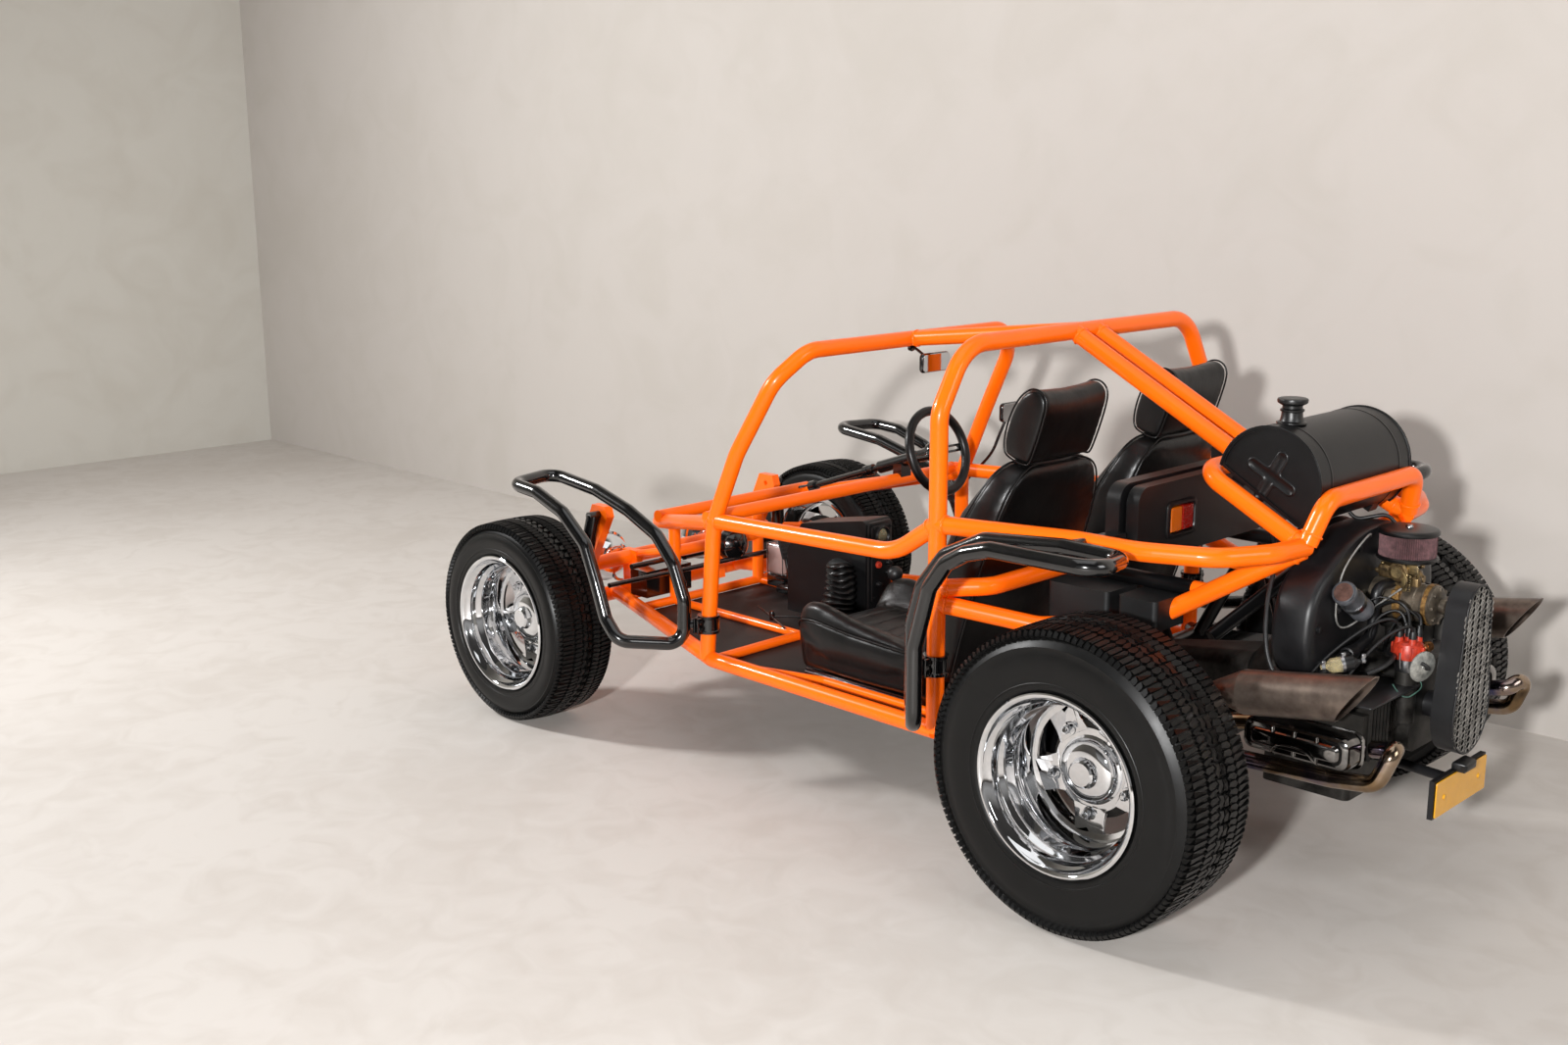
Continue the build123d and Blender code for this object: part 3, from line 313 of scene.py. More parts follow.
def rubber_material(shade):
    """Carbon-black tyre rubber, cleaned and dressed: semi-matt, greyer where it is scuffed."""
    material, tree, shader = new_material("dressed_tyre_rubber", Roughness=0.4, Specular_IOR_Level=0.28)
    scuffs = texture(tree, "Noise", in_Scale=1 / (60 * MM), in_Detail=8.0, in_Roughness=0.7)
    shade_by(tree, shader, scuffs.outputs["Fac"], [(0.3, scaled(shade, 0.7)), (0.75, scaled(shade, 1.3))])
    gloss = node(tree, "ShaderNodeMapRange", [("Value", scuffs.outputs["Fac"])], in_3=0.27, in_4=0.5)
    tree.links.new(gloss.outputs["Result"], shader.inputs["Roughness"])
    grain = texture(tree, "Noise", in_Scale=1 / (1.4 * MM))
    relief(tree, shader, grain.outputs["Fac"], 0.2, GRAIN_DEPTH)
    return material


def lens_material(name, code):
    """A moulded lens: clear gloss over small prisms that catch the light."""
    material, tree, shader = new_material(name, Base_Color=linear(code), Roughness=0.12, Coat_Weight=1.0,
                                          Coat_Roughness=0.02, Transmission_Weight=0.15)
    prisms = texture(tree, "Voronoi", in_Scale=1 / (5 * MM), distance="CHEBYCHEV")
    relief(tree, shader, prisms.outputs["Distance"], 0.6, 1 * MM)
    return material


MATERIALS = {}

# Finish of each carried-over node
NODE_FINISH = {
    "powder_coat": ("main_hoop", "windscreen_hoop", "roof_tubes", "waist_rails", "tank_cradle", "front_axle_beam",
                    "floor_frame", "nose_frame", "front_arms"),
    "subframe_paint": ("rear_subframe",),
    "gloss_enamel": ("front_fenders", "rear_fenders", "front_dampers", "steering_rods", "steering_column",
                     "pedal_gear", "seat_frames", "rear_arms"),
    "floor_mat": ("floor_panels",),
    "satin_enamel": ("fan_shroud", "belt_guard", "plate_bracket"),
    "tank_paint": ("fuel_tank",),
    "moulded_plastic": ("console", "rear_lamp_panel", "ignition_coil", "steering_wheel", "filler_cap"),
    "grey_plastic": ("battery_boxes",),
    "chrome": ("headlamps", "rim_front_left", "rim_front_right", "rim_rear_left", "rim_rear_right",
               "rocker_covers"),
    "yellow_zinc": ("carburettor", "generator"),
    "bright_alloy": ("pulleys",),
    "cast_alloy": ("engine_case", "gearbox"),
    "iron_fins": ("cylinder_banks",),
    "heat_tint": ("header_pipes",),
    "burnished_steel": ("megaphones",),
    "bare_steel": ("knuckle_left", "knuckle_right"),
    "red_phenolic": ("distributor",),
    "red_lens": ("rear_lamps",),
    "filter_gauze": ("air_filter",),
    "plate_yellow": ("number_plate",),
    "rubber": ("tyre_front_left", "tyre_front_right", "tyre_rear_left", "tyre_rear_right"),
    "leather": ("seat_cushion_left", "seat_cushion_right", "seat_back_left", "seat_back_right", "headrest_left",
                "headrest_right"),
    "mirror": ("mirrors",),
}


# Modelling helpers

def deselect():
    """Leave edit mode and clear the selection."""
    if bpy.context.mode != "OBJECT":
        bpy.ops.object.mode_set(mode="OBJECT")
    bpy.ops.object.select_all(action="DESELECT")


def pick(obj):
    """Make one object the selected and active one."""
    deselect()
    obj.select_set(True)
    bpy.context.view_layer.objects.active = obj


def angles(count):
    """Evenly spaced angles round a circle."""
    return [2 * math.pi * n / count for n in range(count)]


def at(x, y, z):
    """A point given from the rear axle, the middle and the ground, in the frame's axes."""
    return Vector((x + REAR_AXLE_X, y, z))


def close_mesh():
    """In edit mode, turn every face outwards and leave the mesh."""
    bpy.ops.mesh.select_all(action="SELECT")
    bpy.ops.mesh.normals_make_consistent(inside=False)
    bpy.ops.object.mode_set(mode="OBJECT")


def turned(name, profile, centre, axis, steps=96):
    """Spin a closed profile of (along the axis, radius) points round an axis through centre."""
    deselect()
    bpy.ops.mesh.primitive_circle_add(vertices=len(profile), fill_type="NOTHING")
    piece = bpy.context.object
    piece.name = piece.data.name = name
    axis = Vector(axis)
    up = Vector((0, 0, 1)) if abs(axis.z) < 0.9 else Vector((1, 0, 0))
    up = (up - axis * up.dot(axis)).normalized()
    for vertex, (along, radius) in zip(piece.data.vertices, profile):
        vertex.co = Vector(centre) + axis * along + up * radius
    bpy.ops.object.mode_set(mode="EDIT")
    bpy.ops.mesh.select_all(action="SELECT")
    bpy.ops.mesh.spin(steps=steps, angle=2 * math.pi, center=centre, axis=axis)
    bpy.ops.mesh.select_all(action="SELECT")
    bpy.ops.mesh.remove_doubles(threshold=0.02 * MM)
    bpy.ops.mesh.dissolve_degenerate(threshold=0.01 * MM)
    bpy.ops.mesh.select_all(action="SELECT")
    bpy.ops.mesh.delete_loose()
    close_mesh()
    return piece


def smooth(piece, degrees=35):
    """Shade a piece smooth, with sharp edges past an angle, and give it back."""
    pick(piece)
    bpy.ops.object.shade_smooth_by_angle(angle=math.radians(degrees))
    return piece


def join(pieces, name):
    """Make one piece of several."""
    deselect()
    for piece in pieces:
        piece.select_set(True)
    bpy.context.view_layer.objects.active = pieces[0]
    if len(pieces) > 1:
        bpy.ops.object.join()
    pieces[0].name = pieces[0].data.name = name
    return pieces[0]


def add_prism(lower, upper):
    """In edit mode, add a closed block between two outlines of the same number of points."""
    mesh = bpy.context.edit_object.data
    bpy.ops.mesh.select_all(action="DESELECT")
    bpy.ops.mesh.primitive_circle_add(vertices=len(lower), fill_type="NGON")
    bpy.ops.mesh.extrude_region_move()
    bpy.ops.object.mode_set(mode="OBJECT")
    count = len(lower)
    for vertex, point in zip(mesh.vertices[-2 * count:], list(lower) + list(upper)):
        vertex.co = point
    bpy.ops.object.mode_set(mode="EDIT")


def empty_mesh(name):
    """A new mesh object with nothing in it, in edit mode."""
    deselect()
    bpy.ops.mesh.primitive_plane_add(size=1)
    piece = bpy.context.object
    piece.name = piece.data.name = name
    bpy.ops.object.mode_set(mode="EDIT")
    bpy.ops.mesh.select_all(action="SELECT")
    bpy.ops.mesh.delete(type="VERT")
    return piece


def spin_copies(centre, axis, count):
    """In edit mode, repeat all of the mesh evenly round an axis."""
    bpy.ops.mesh.select_all(action="SELECT")
    bpy.ops.mesh.spin(steps=count - 1, angle=2 * math.pi * (count - 1) / count, center=centre, axis=axis, dupli=True)


def stack(name, rings):
    """A closed piece lofted through rings that have the same number of points."""
    count = len(rings[0])
    deselect()
    bpy.ops.mesh.primitive_circle_add(vertices=count, fill_type="NGON")
    piece = bpy.context.object
    piece.name = piece.data.name = name
    bpy.ops.object.mode_set(mode="EDIT")
    bpy.ops.mesh.select_all(action="SELECT")
    for _ in rings[1:]:
        bpy.ops.mesh.extrude_region_move()
    bpy.ops.object.mode_set(mode="OBJECT")
    for vertex, point in zip(piece.data.vertices, [p for ring in rings for p in ring]):
        vertex.co = point
    bpy.ops.object.mode_set(mode="EDIT")
    close_mesh()
    return piece


def tube(name, points, radius, closed=False, steps=5, sides=3):
    """A round tube along a smooth line through its control points."""
    deselect()
    bpy.ops.curve.primitive_nurbs_path_add()
    piece = bpy.context.object
    piece.name = piece.data.name = name
    curve = piece.data
    curve.splines.clear()
    spline = curve.splines.new("NURBS")
    spline.points.add(len(points) - 1)
    for control, point in zip(spline.points, points):
        control.co = (*point, 1)
    spline.order_u = 3
    spline.use_endpoint_u = not closed
    spline.use_cyclic_u = closed
    spline.resolution_u = steps
    curve.dimensions = "3D"
    curve.bevel_depth = radius
    curve.bevel_resolution = sides
    curve.use_fill_caps = not closed
    pick(piece)
    bpy.ops.object.convert(target="MESH")
    return bpy.context.object


def rounded(half_u, half_v, corner, radius, steps):
    """Outline of a rectangle whose corners are arcs of a radius about the corner's own centre."""
    points = []
    for quarter, (su, sv) in enumerate(((1, 1), (-1, 1), (-1, -1), (1, -1))):
        for n in range(steps):
            angle = quarter * math.pi / 2 + n / (steps - 1) * math.pi / 2
            points.append((su * (half_u - corner) + radius * math.cos(angle),
                           sv * (half_v - corner) + radius * math.sin(angle)))
    return points


def block(name, centre, u, v, w, half, corner, taper=1.0):
    """A rounded block; u, v and w run across, up and along it, with half sizes in the same order."""
    rings = []
    hu, hv, hw = half
    edge = min(corner, hw * 0.9)
    # where along the block each ring lies, and how far its edge is rounded in
    for depth, shrink in ((-hw, edge * 0.75), (-hw + edge * 0.3, edge * 0.25), (-hw + edge, 0.0),
                          (hw - edge, 0.0), (hw - edge * 0.3, edge * 0.25), (hw, edge * 0.75)):
        k = 1 + (taper - 1) * (depth + hw) / (2 * hw)
        rings.append([centre + u * across + v * up + w * depth
                      for across, up in rounded(hu * k, hv * k, corner, corner - shrink, 5)])
    return stack(name, rings)


def hex_head(centre, axis, radius, height):
    """A hexagonal bolt head with a washer."""
    axis = Vector(axis).normalized()
    side = axis.orthogonal().normalized()
    up = axis.cross(side)
    rings = []
    # shares of the radius and the height, and whether the ring is hexagonal
    for r, h, flat in ((1.45, 0.0, 0), (1.45, 0.18, 0), (1.0, 0.2, 1), (1.0, 0.9, 1), (0.86, 1.0, 1)):
        ring = []
        for a in angles(12):
            k = r * (1 / math.cos((a + math.pi / 6) % (math.pi / 3) - math.pi / 6) if flat else 1.0)
            ring.append(Vector(centre) + (side * math.cos(a) + up * math.sin(a)) * radius * k + axis * height * h)
        rings.append(ring)
    return stack("bolt", rings)


def smooth_line(points, steps):
    """A smooth run of points through the given ones."""
    line = []
    ends = [points[0], *points, points[-1]]
    for a, b, c, d in zip(ends, ends[1:], ends[2:], ends[3:]):
        for n in range(steps):
            t = n / steps
            line.append(tuple(0.5 * (2 * q + (r - p) * t + (2 * p - 5 * q + 4 * r - s) * t ** 2
                                     + (3 * q - p - 3 * r + s) * t ** 3) for p, q, r, s in zip(a, b, c, d)))
    return [*line, points[-1]]


def dense(points, gap):
    """Points along straight runs, closer than a gap."""
    out = []
    for a, b in zip(points, points[1:]):
        count = max(1, int((b - a).length / gap))
        out += [a.lerp(b, n / count) for n in range(count)]
    return out + [points[-1]]


def modify(piece, title, kind, **settings):
    """Give a piece a modifier with these settings and apply it."""
    pick(piece)
    made = piece.modifiers.new(title, kind)
    for key, value in settings.items():
        setattr(made, key, value)
    bpy.ops.object.modifier_apply(modifier=made.name)


def wear(obj, finish, replaces=(), body="chassis"):
    """Give a piece its finish, the nodes that it stands for and its body."""
    obj.data.materials.clear()
    obj.data.materials.append(MATERIALS[finish])
    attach(obj, body)
    if replaces:
        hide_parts(*replaces)


def fit(name, parts, finish, replaces=(), degrees=35, body="chassis"):
    """Join parts into one smooth-shaded piece and give it its finish."""
    wear(smooth(join(parts, name), degrees), finish, replaces, body)


# Stage

class BUGGY_OT_stage(bpy.types.Operator):
    """Set up the pale floor and wall, the soft lamps and the camera"""
    bl_idname = "buggy.stage"
    bl_label = "Stage"

    def execute(self, context):
        deselect()
        bpy.ops.mesh.primitive_plane_add(size=40)
        floor = context.object
        floor.name = "studio_floor"
        # the long wall stands close behind the far wheels, the end wall well beyond the nose
        bpy.ops.mesh.primitive_plane_add(size=40, location=(-13.4, WALL_Y, 20), rotation=(math.radians(-90), 0, 0))
        wall = context.object
        wall.name = "studio_wall"
        bpy.ops.mesh.primitive_plane_add(size=40, location=(6.6, 18.7, 20), rotation=(0, math.radians(-90), 0))
        end_wall = context.object
        end_wall.name = "studio_end_wall"
        for piece, light, dark, low, high in ((floor, "CCC6C0", "C4BDB6", 1.3, 7.0),
                                              (wall, "BAB4AE", "B6B0A9", 0.5, 3.0),
                                              (end_wall, "CBC8C0", "C5C1B8", 0.5, 3.0)):
            piece.data.materials.append(self.plaster(piece.name + "_paint", light, dark, low, high))
        self.add_lamps()
        self.add_world()
        self.add_camera()
        return {"FINISHED"}

    def plaster(self, name, light, dark, low, high):
        """Painted plaster or concrete with faint clouds and scuffs; a wall is clear from behind."""
        material, tree, shader = new_material(name, Roughness=0.7)
        cloud = texture(tree, "Noise", in_Scale=low, in_Detail=6.0)
        scuff = texture(tree, "Noise", in_Scale=high, in_Detail=8.0, in_Distortion=1.2)
        both = calc(tree, "MULTIPLY", [(0, cloud.outputs["Fac"]), (1, scuff.outputs["Fac"])])
        shade_by(tree, shader, both, [(0.14, linear(dark)), (0.30, linear(light))])
        side = node(tree, "ShaderNodeNewGeometry")
        clear = node(tree, "ShaderNodeBsdfTransparent")
        mix = node(tree, "ShaderNodeMixShader", [(0, side.outputs["Backfacing"]), (1, shader.outputs["BSDF"]),
                                                 (2, clear.outputs["BSDF"])])
        tree.links.new(mix.outputs["Shader"], tree.nodes["Material Output"].inputs["Surface"])
        return material

    def add_lamps(self):
        """Square soft lamps, all aimed at the buggy's middle."""
        lamps = (
            # name, place, size, watts
            ("overhead_panel", (-0.6, 0.9, 4.2), 3.0, 30),
            ("nose_key", (4.4, 3.0, 3.3), 0.6, 225),
            ("tail_key", (-2.9, 5.2, 2.0), 0.22, 360),
            ("tail_panel", (-4.6, 0.6, 2.6), 1.6, 40),
        )
        for name, place, size, watts in lamps:
            bpy.ops.object.light_add(type="AREA", location=place)
            lamp = bpy.context.object
            lamp.name = name
            lamp.data.size = size
            lamp.data.energy = watts
            aim = Vector((0, 0, 0.5)) - Vector(place)
            lamp.rotation_euler = aim.to_track_quat("-Z", "Y").to_euler()

    def add_world(self):
        """Dim air all round, for soft shadows and for what the chrome mirrors."""
        world = bpy.data.worlds.new("studio_air")
        bpy.context.scene.world = world
        world.use_nodes = True
        tree = world.node_tree
        place = node(tree, "ShaderNodeTexCoord")
        height = node(tree, "ShaderNodeSeparateXYZ", [(0, place.outputs["Generated"])])
        sky = node(tree, "ShaderNodeValToRGB", [("Fac", height.outputs["Z"])])
        # a bright band low down, as of lit walls all round, under a dim ceiling
        ramp_stops(sky, [(0.0, linear("C9C5C2")), (0.10, linear("FFFDFB")), (0.26, linear("E2DFDC")),
                         (0.45, linear("6E6B69")), (1.0, linear("5A5856"))])
        back = tree.nodes["Background"]
        tree.links.new(sky.outputs["Color"], back.inputs["Color"])
        back.inputs["Strength"].default_value = 0.33

    def add_camera(self):
        """The photograph's camera, as fitted to the wheels, hoops and rails."""
        bpy.ops.object.camera_add(location=(-2.853, 3.545, 1.666))
        camera = bpy.context.object
        camera.name = "photo_camera"
        camera.data.lens = 37.59
        camera.data.sensor_width = 36
        azimuth, elevation, roll = (math.radians(a) for a in (-44.71, -12.33, -0.28))
        turn = (Matrix.Rotation(azimuth - math.pi / 2, 3, "Z") @ Matrix.Rotation(math.pi / 2 + elevation, 3, "X")
                @ Matrix.Rotation(roll, 3, "Z"))
        camera.rotation_euler = turn.to_euler()
        camera.data.clip_end = 100
        bpy.context.scene.camera = camera


class BUGGY_OT_finishes(bpy.types.Operator):
    """Make the finishes and paint every carried-over node"""
    bl_idname = "buggy.finishes"
    bl_label = "Finishes"

    def execute(self, context):
        MATERIALS.update(make_materials(context.scene.buggy_colours))
        for finish, names in NODE_FINISH.items():
            for name in names:
                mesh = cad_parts[name].data
                mesh.materials.clear()
                mesh.materials.append(MATERIALS[finish])
        return {"FINISHED"}


# Wheels

CORNERS = (
    # name, body, axle x, side, centre y, tyre radius, tyre width, depth of the disc inside the flange
    ("front_left", "wheel_front_left", WHEELBASE, 1, FRONT_Y, FRONT_R, 0.208, 0.120),
    ("front_right", "wheel_front_right", WHEELBASE, -1, FRONT_Y, FRONT_R, 0.208, 0.120),
    ("rear_left", "wheel_rear_left", 0.0, 1, REAR_Y, REAR_R, 0.242, 0.145),
    ("rear_right", "wheel_rear_right", 0.0, -1, REAR_Y, REAR_R, 0.242, 0.145),
)
TREAD_ROWS = (
    # blocks of one pitch: corners as (share of the pitch, share of the tread's half width)
    ((0.06, -0.14), (0.30, -0.20), (0.62, -0.15), (0.94, -0.21), (0.90, 0.00), (0.50, -0.03), (0.12, 0.02)),
    ((0.10, 0.05), (0.50, 0.01), (0.88, 0.04), (0.97, 0.20), (0.66, 0.14), (0.38, 0.21), (0.04, 0.15)),
    ((0.00, 0.26), (0.30, 0.20), (0.46, 0.25), (0.40, 0.42), (0.22, 0.53), (0.02, 0.46)),
    ((0.52, 0.23), (0.72, 0.19), (0.95, 0.25), (0.92, 0.47), (0.70, 0.53), (0.48, 0.44)),
    ((0.52, -0.26), (0.80, -0.21), (0.97, -0.25), (0.94, -0.44), (0.72, -0.54), (0.50, -0.47)),
    ((0.02, -0.24), (0.22, -0.20), (0.46, -0.25), (0.43, -0.47), (0.20, -0.53), (0.00, -0.45)),
    ((0.04, 0.60), (0.24, 0.54), (0.44, 0.60), (0.42, 1.00), (0.06, 1.00)),
    ((0.56, 0.60), (0.76, 0.54), (0.94, 0.60), (0.90, 1.00), (0.54, 1.00)),
    ((0.06, -1.00), (0.42, -1.00), (0.44, -0.60), (0.24, -0.54), (0.04, -0.60)),
    ((0.54, -1.00), (0.90, -1.00), (0.94, -0.60), (0.76, -0.54), (0.56, -0.60)),
)
SHOULDER_BAR = ((0.06, 0.46), (0.54, 0.94))
SHOULDER = 0.86  # half width of the tread as a share of the tyre's
BLOCK_ROOT = 6 * MM  # how far the tread's blocks reach below the grooves' floor


class BUGGY_OT_tyres(bpy.types.Operator):
    """Turn the four tyres and cut their road tread"""
    bl_idname = "buggy.tyres"
    bl_label = "Tyres"

    def execute(self, context):
        sizes = context.scene.buggy_sizes
        for name, body, x, side, y, radius, width, _ in CORNERS:
            centre = at(x, side * y, radius)
            carcass = turned("carcass_" + name, self.profile(radius, width, sizes.groove), centre, (0, side, 0), 128)
            tread = self.tread(name, centre, side, radius, width, sizes)
            tyre = join([carcass, tread], "road_tyre_" + name)
            wear(smooth(tyre, 28), "rubber", ["tyre_" + name], body)
        return {"FINISHED"}

    def profile(self, radius, width, groove):
        """The carcass's section, bead to bead, with a rim guard and two moulded rings on each sidewall."""
        half, bead = width / 2, width / 2 - 13 * MM
        shoulder = half * SHOULDER
        wall = [(bead, 0.193), (bead + 1 * MM, 0.2065), (half - 9 * MM, 0.2105), (half - 5 * MM, 0.216),
                (half - 4.4 * MM, 0.2195), (half - 4.0 * MM, 0.226), (half - 2.6 * MM, 0.227),
                (half - 2.4 * MM, 0.229), (half - 3.0 * MM, 0.230)]
        low, high = 0.232, radius - 22 * MM
        for step in range(9):
            t = step / 8
            inward = 1.2 * MM + 9.5 * MM * (2 * t - 0.75) ** 2 * (0.35 + 0.65 * t)
            wall.append((half - inward, low + (high - low) * t))
        ring_at = low + (high - low) * 0.78
        wall.insert(-2, (wall[-3][0] + 1.2 * MM, ring_at + 2 * MM))
        wall += [(shoulder + 4 * MM, radius - 14 * MM), (shoulder - 2 * MM, radius - 4 * MM - groove),
                 (shoulder * 0.5, radius - 1 * MM - groove), (0.0, radius - 0.3 * MM - groove)]
        return wall + [(-a, r) for a, r in wall[-2::-1]]

    def tread(self, name, centre, side, radius, width, sizes):
        """One pitch of blocks, repeated round the tyre."""
        shoulder = width / 2 * SHOULDER
        step = 2 * math.pi / sizes.pitches

        def place(share, across, radius_here):
            """A point from its share of the pitch, its share of the tread's half width and its radius."""
            angle = share * step
            return centre + Vector((math.sin(angle) * radius_here, side * across * shoulder,
                                    math.cos(angle) * radius_here))

        def crown(across):
            """The tread's radius, which falls off towards the shoulders."""
            return radius - 3.5 * MM * abs(across) ** 2.4

        piece = empty_mesh("tread_" + name)
        for row in TREAD_ROWS:
            add_prism([place(t, a, radius - sizes.groove - BLOCK_ROOT) for t, a in row],
                      [place(t, a, crown(a)) for t, a in row])
        # the shoulder's bars run down onto each sidewall
        for start, end in SHOULDER_BAR:
            for edge in (1, -1):
                outline = [(start, 1.0, 3.6), (end, 1.0, 3.6), (end - 0.01, 1.08, 10), (end - 0.02, 1.105, 17),
                           (start + 0.02, 1.105, 17), (start + 0.01, 1.08, 10)]
                upper = [place(t, edge * a, radius - drop * MM) for t, a, drop in outline]
                lower = [place(t, edge * (a - 0.12), radius - (drop + 9) * MM) for t, a, drop in outline]
                add_prism(lower, upper)
        spin_copies(centre, (0, 1, 0), sizes.pitches)
        close_mesh()
        return piece


class BUGGY_OT_rims(bpy.types.Operator):
    """Turn the chromed rims, their stepped barrels, five-armed discs, caps and nuts"""
    bl_idname = "buggy.rims"
    bl_label = "Rims"

    def execute(self, context):
        for name, body, x, side, y, radius, width, dish in CORNERS:
            centre, axis = at(x, side * y, radius), Vector((0, side, 0))
            flange = width / 2 - 4 * MM
            disc = flange - dish
            barrel = turned("barrel", self.barrel(flange, disc), centre, axis, 128)
            bowl = self.disc(centre, axis, disc)
            cap = turned("cap", [(disc - 2 * MM, 0), (disc - 2 * MM, 0.079), (disc + 3 * MM, 0.079),
                                 (disc + 5 * MM, 0.074), (disc + 17 * MM, 0.071), (disc + 24 * MM, 0.064),
                                 (disc + 28 * MM, 0.048), (disc + 29 * MM, 0.036), (disc + 33 * MM, 0.034),
                                 (disc + 42 * MM, 0.032), (disc + 46 * MM, 0.027), (disc + 47 * MM, 0.0)],
                         centre, axis, 64)
            nuts = self.nuts(centre, side, disc)
            rim = join([barrel, bowl, cap, nuts], "chrome_rim_" + name)
            wear(smooth(rim, 32), "chrome", body=body)
            self.drum(name, body, centre, axis, disc)
        return {"FINISHED"}

    def barrel(self, flange, disc):
        """Lip, stepped outer barrel, drop centre and inner flange as one closed wall."""
        face = [(flange - 3 * MM, 0.2068), (flange + 1 * MM, 0.2075), (flange + 3.5 * MM, 0.2045),
                (flange + 3.5 * MM, 0.2005), (flange + 1 * MM, 0.1965), (flange - 4 * MM, 0.1935),
                (flange - 9 * MM, 0.1915), (flange - 15 * MM, 0.1860), (flange - 19 * MM, 0.1825),
                (flange - 34 * MM, 0.1805), (flange - 40 * MM, 0.1780), (flange - 47 * MM, 0.1705),
                (flange - 54 * MM, 0.1680), (flange - 76 * MM, 0.1665), (flange - 84 * MM, 0.1630),
                (flange - 92 * MM, 0.1600), (disc + 4 * MM, 0.1590), (disc - 10 * MM, 0.1580),
                (disc - 16 * MM, 0.1640), (-flange + 26 * MM, 0.1740), (-flange + 6 * MM, 0.1850),
                (-flange, 0.1990), (-flange - 2 * MM, 0.2060)]
        back = [(-flange + 3 * MM, 0.2070), (-flange + 8 * MM, 0.1900), (flange - 8 * MM, 0.1925)]
        return face + back

    def disc(self, centre, axis, disc):
        """The pressed centre: nave, outer ring and five broad arms with windows between them."""
        thick = 6 * MM
        nave = turned("nave", [(disc - thick, 0), (disc, 0), (disc, 0.096), (disc - thick, 0.096)], centre, axis, 64)
        ring = turned("ring", [(disc + 1 * MM, 0.1475), (disc + 4 * MM, 0.1595), (disc - thick + 2 * MM, 0.1595),
                               (disc - thick, 0.1475)], centre, axis, 96)
        arms = empty_mesh("arms")
        outline = ((0.36, 0.150), (0.50, 0.151), (0.628, 0.1515), (0.757, 0.151), (0.897, 0.150), (0.957, 0.118),
                   (1.127, 0.092), (0.88, 0.088), (0.628, 0.086), (0.38, 0.088), (0.13, 0.092), (0.30, 0.118))
        points = [centre + Vector((math.sin(a) * r, 0, math.cos(a) * r)) for a, r in outline]
        add_prism([p + axis * (disc - thick + 1 * MM) for p in points], [p + axis * (disc + 1 * MM) for p in points])
        spin_copies(centre, (0, 1, 0), 5)
        close_mesh()
        modify(arms, "pressed_edges", "BEVEL", width=1.5 * MM, segments=2, limit_method="ANGLE",
               angle_limit=math.radians(50))
        return join([nave, ring, arms], "disc")

    def nuts(self, centre, side, disc):
        """Five chromed nuts with washers on the arms."""
        piece = empty_mesh("nuts")
        arm = math.radians(36)
        hub = centre + Vector((math.sin(arm) * 0.1025, 0, math.cos(arm) * 0.1025))
        for radius, low, high, shrink, sides in ((0.017, -1, 4, 0.9, 16), (0.0115, 2, 20, 0.94, 6),
                                                 (0.008, 19, 25, 0.6, 8)):
            ring = [Vector((math.sin(a) * radius, 0, math.cos(a) * radius)) for a in angles(sides)]
            base = Vector((0, side * (disc + low * MM), 0))
            top = Vector((0, side * (disc + high * MM), 0))
            add_prism([hub + base + p for p in ring], [hub + top + p * shrink for p in ring])
        spin_copies(centre, (0, 1, 0), 5)
        close_mesh()
        return piece

    def drum(self, name, body, centre, axis, disc):
        """Finned brake drum behind the disc, in dark iron."""
        drum = turned("brake_drum_" + name, [(disc - 9 * MM, 0), (disc - 9 * MM, 0.098), (disc - 14 * MM, 0.110),
                                             (disc - 24 * MM, 0.110), (disc - 25 * MM, 0.116),
                                             (disc - 30 * MM, 0.116), (disc - 31 * MM, 0.110),
                                             (disc - 56 * MM, 0.110), (disc - 56 * MM, 0)], centre, axis, 64)
        wear(smooth(drum), "iron_fins", body=body)
        if name.startswith("rear"):
            shaft = turned("half_shaft_" + name, [(disc - 55 * MM, 0), (disc - 55 * MM, 0.016), (-0.181, 0.016),
                                                  (-0.181, 0.044), (-0.222, 0.044), (-0.224, 0.034),
                                                  (-0.234, 0.030), (-0.238, 0.034), (-0.246, 0.022),
                                                  (-0.262, 0.014), (-0.436, 0.014), (-0.448, 0.022),
                                                  (-0.458, 0.034), (-0.462, 0.030), (-0.472, 0.044),
                                                  (-0.514, 0.044), (-0.514, 0)], centre, axis, 40)
            wear(smooth(shaft), "bare_steel", body=body)
        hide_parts("rim_" + name)


# Seats

LEAN = math.radians(17.5)
SEAT_Y = 0.28
BACK_UP = Vector((-math.sin(LEAN), 0, math.cos(LEAN)))
BACK_REAR = Vector((-math.cos(LEAN), 0, -math.sin(LEAN)))
BACK_HEIGHT = 0.598
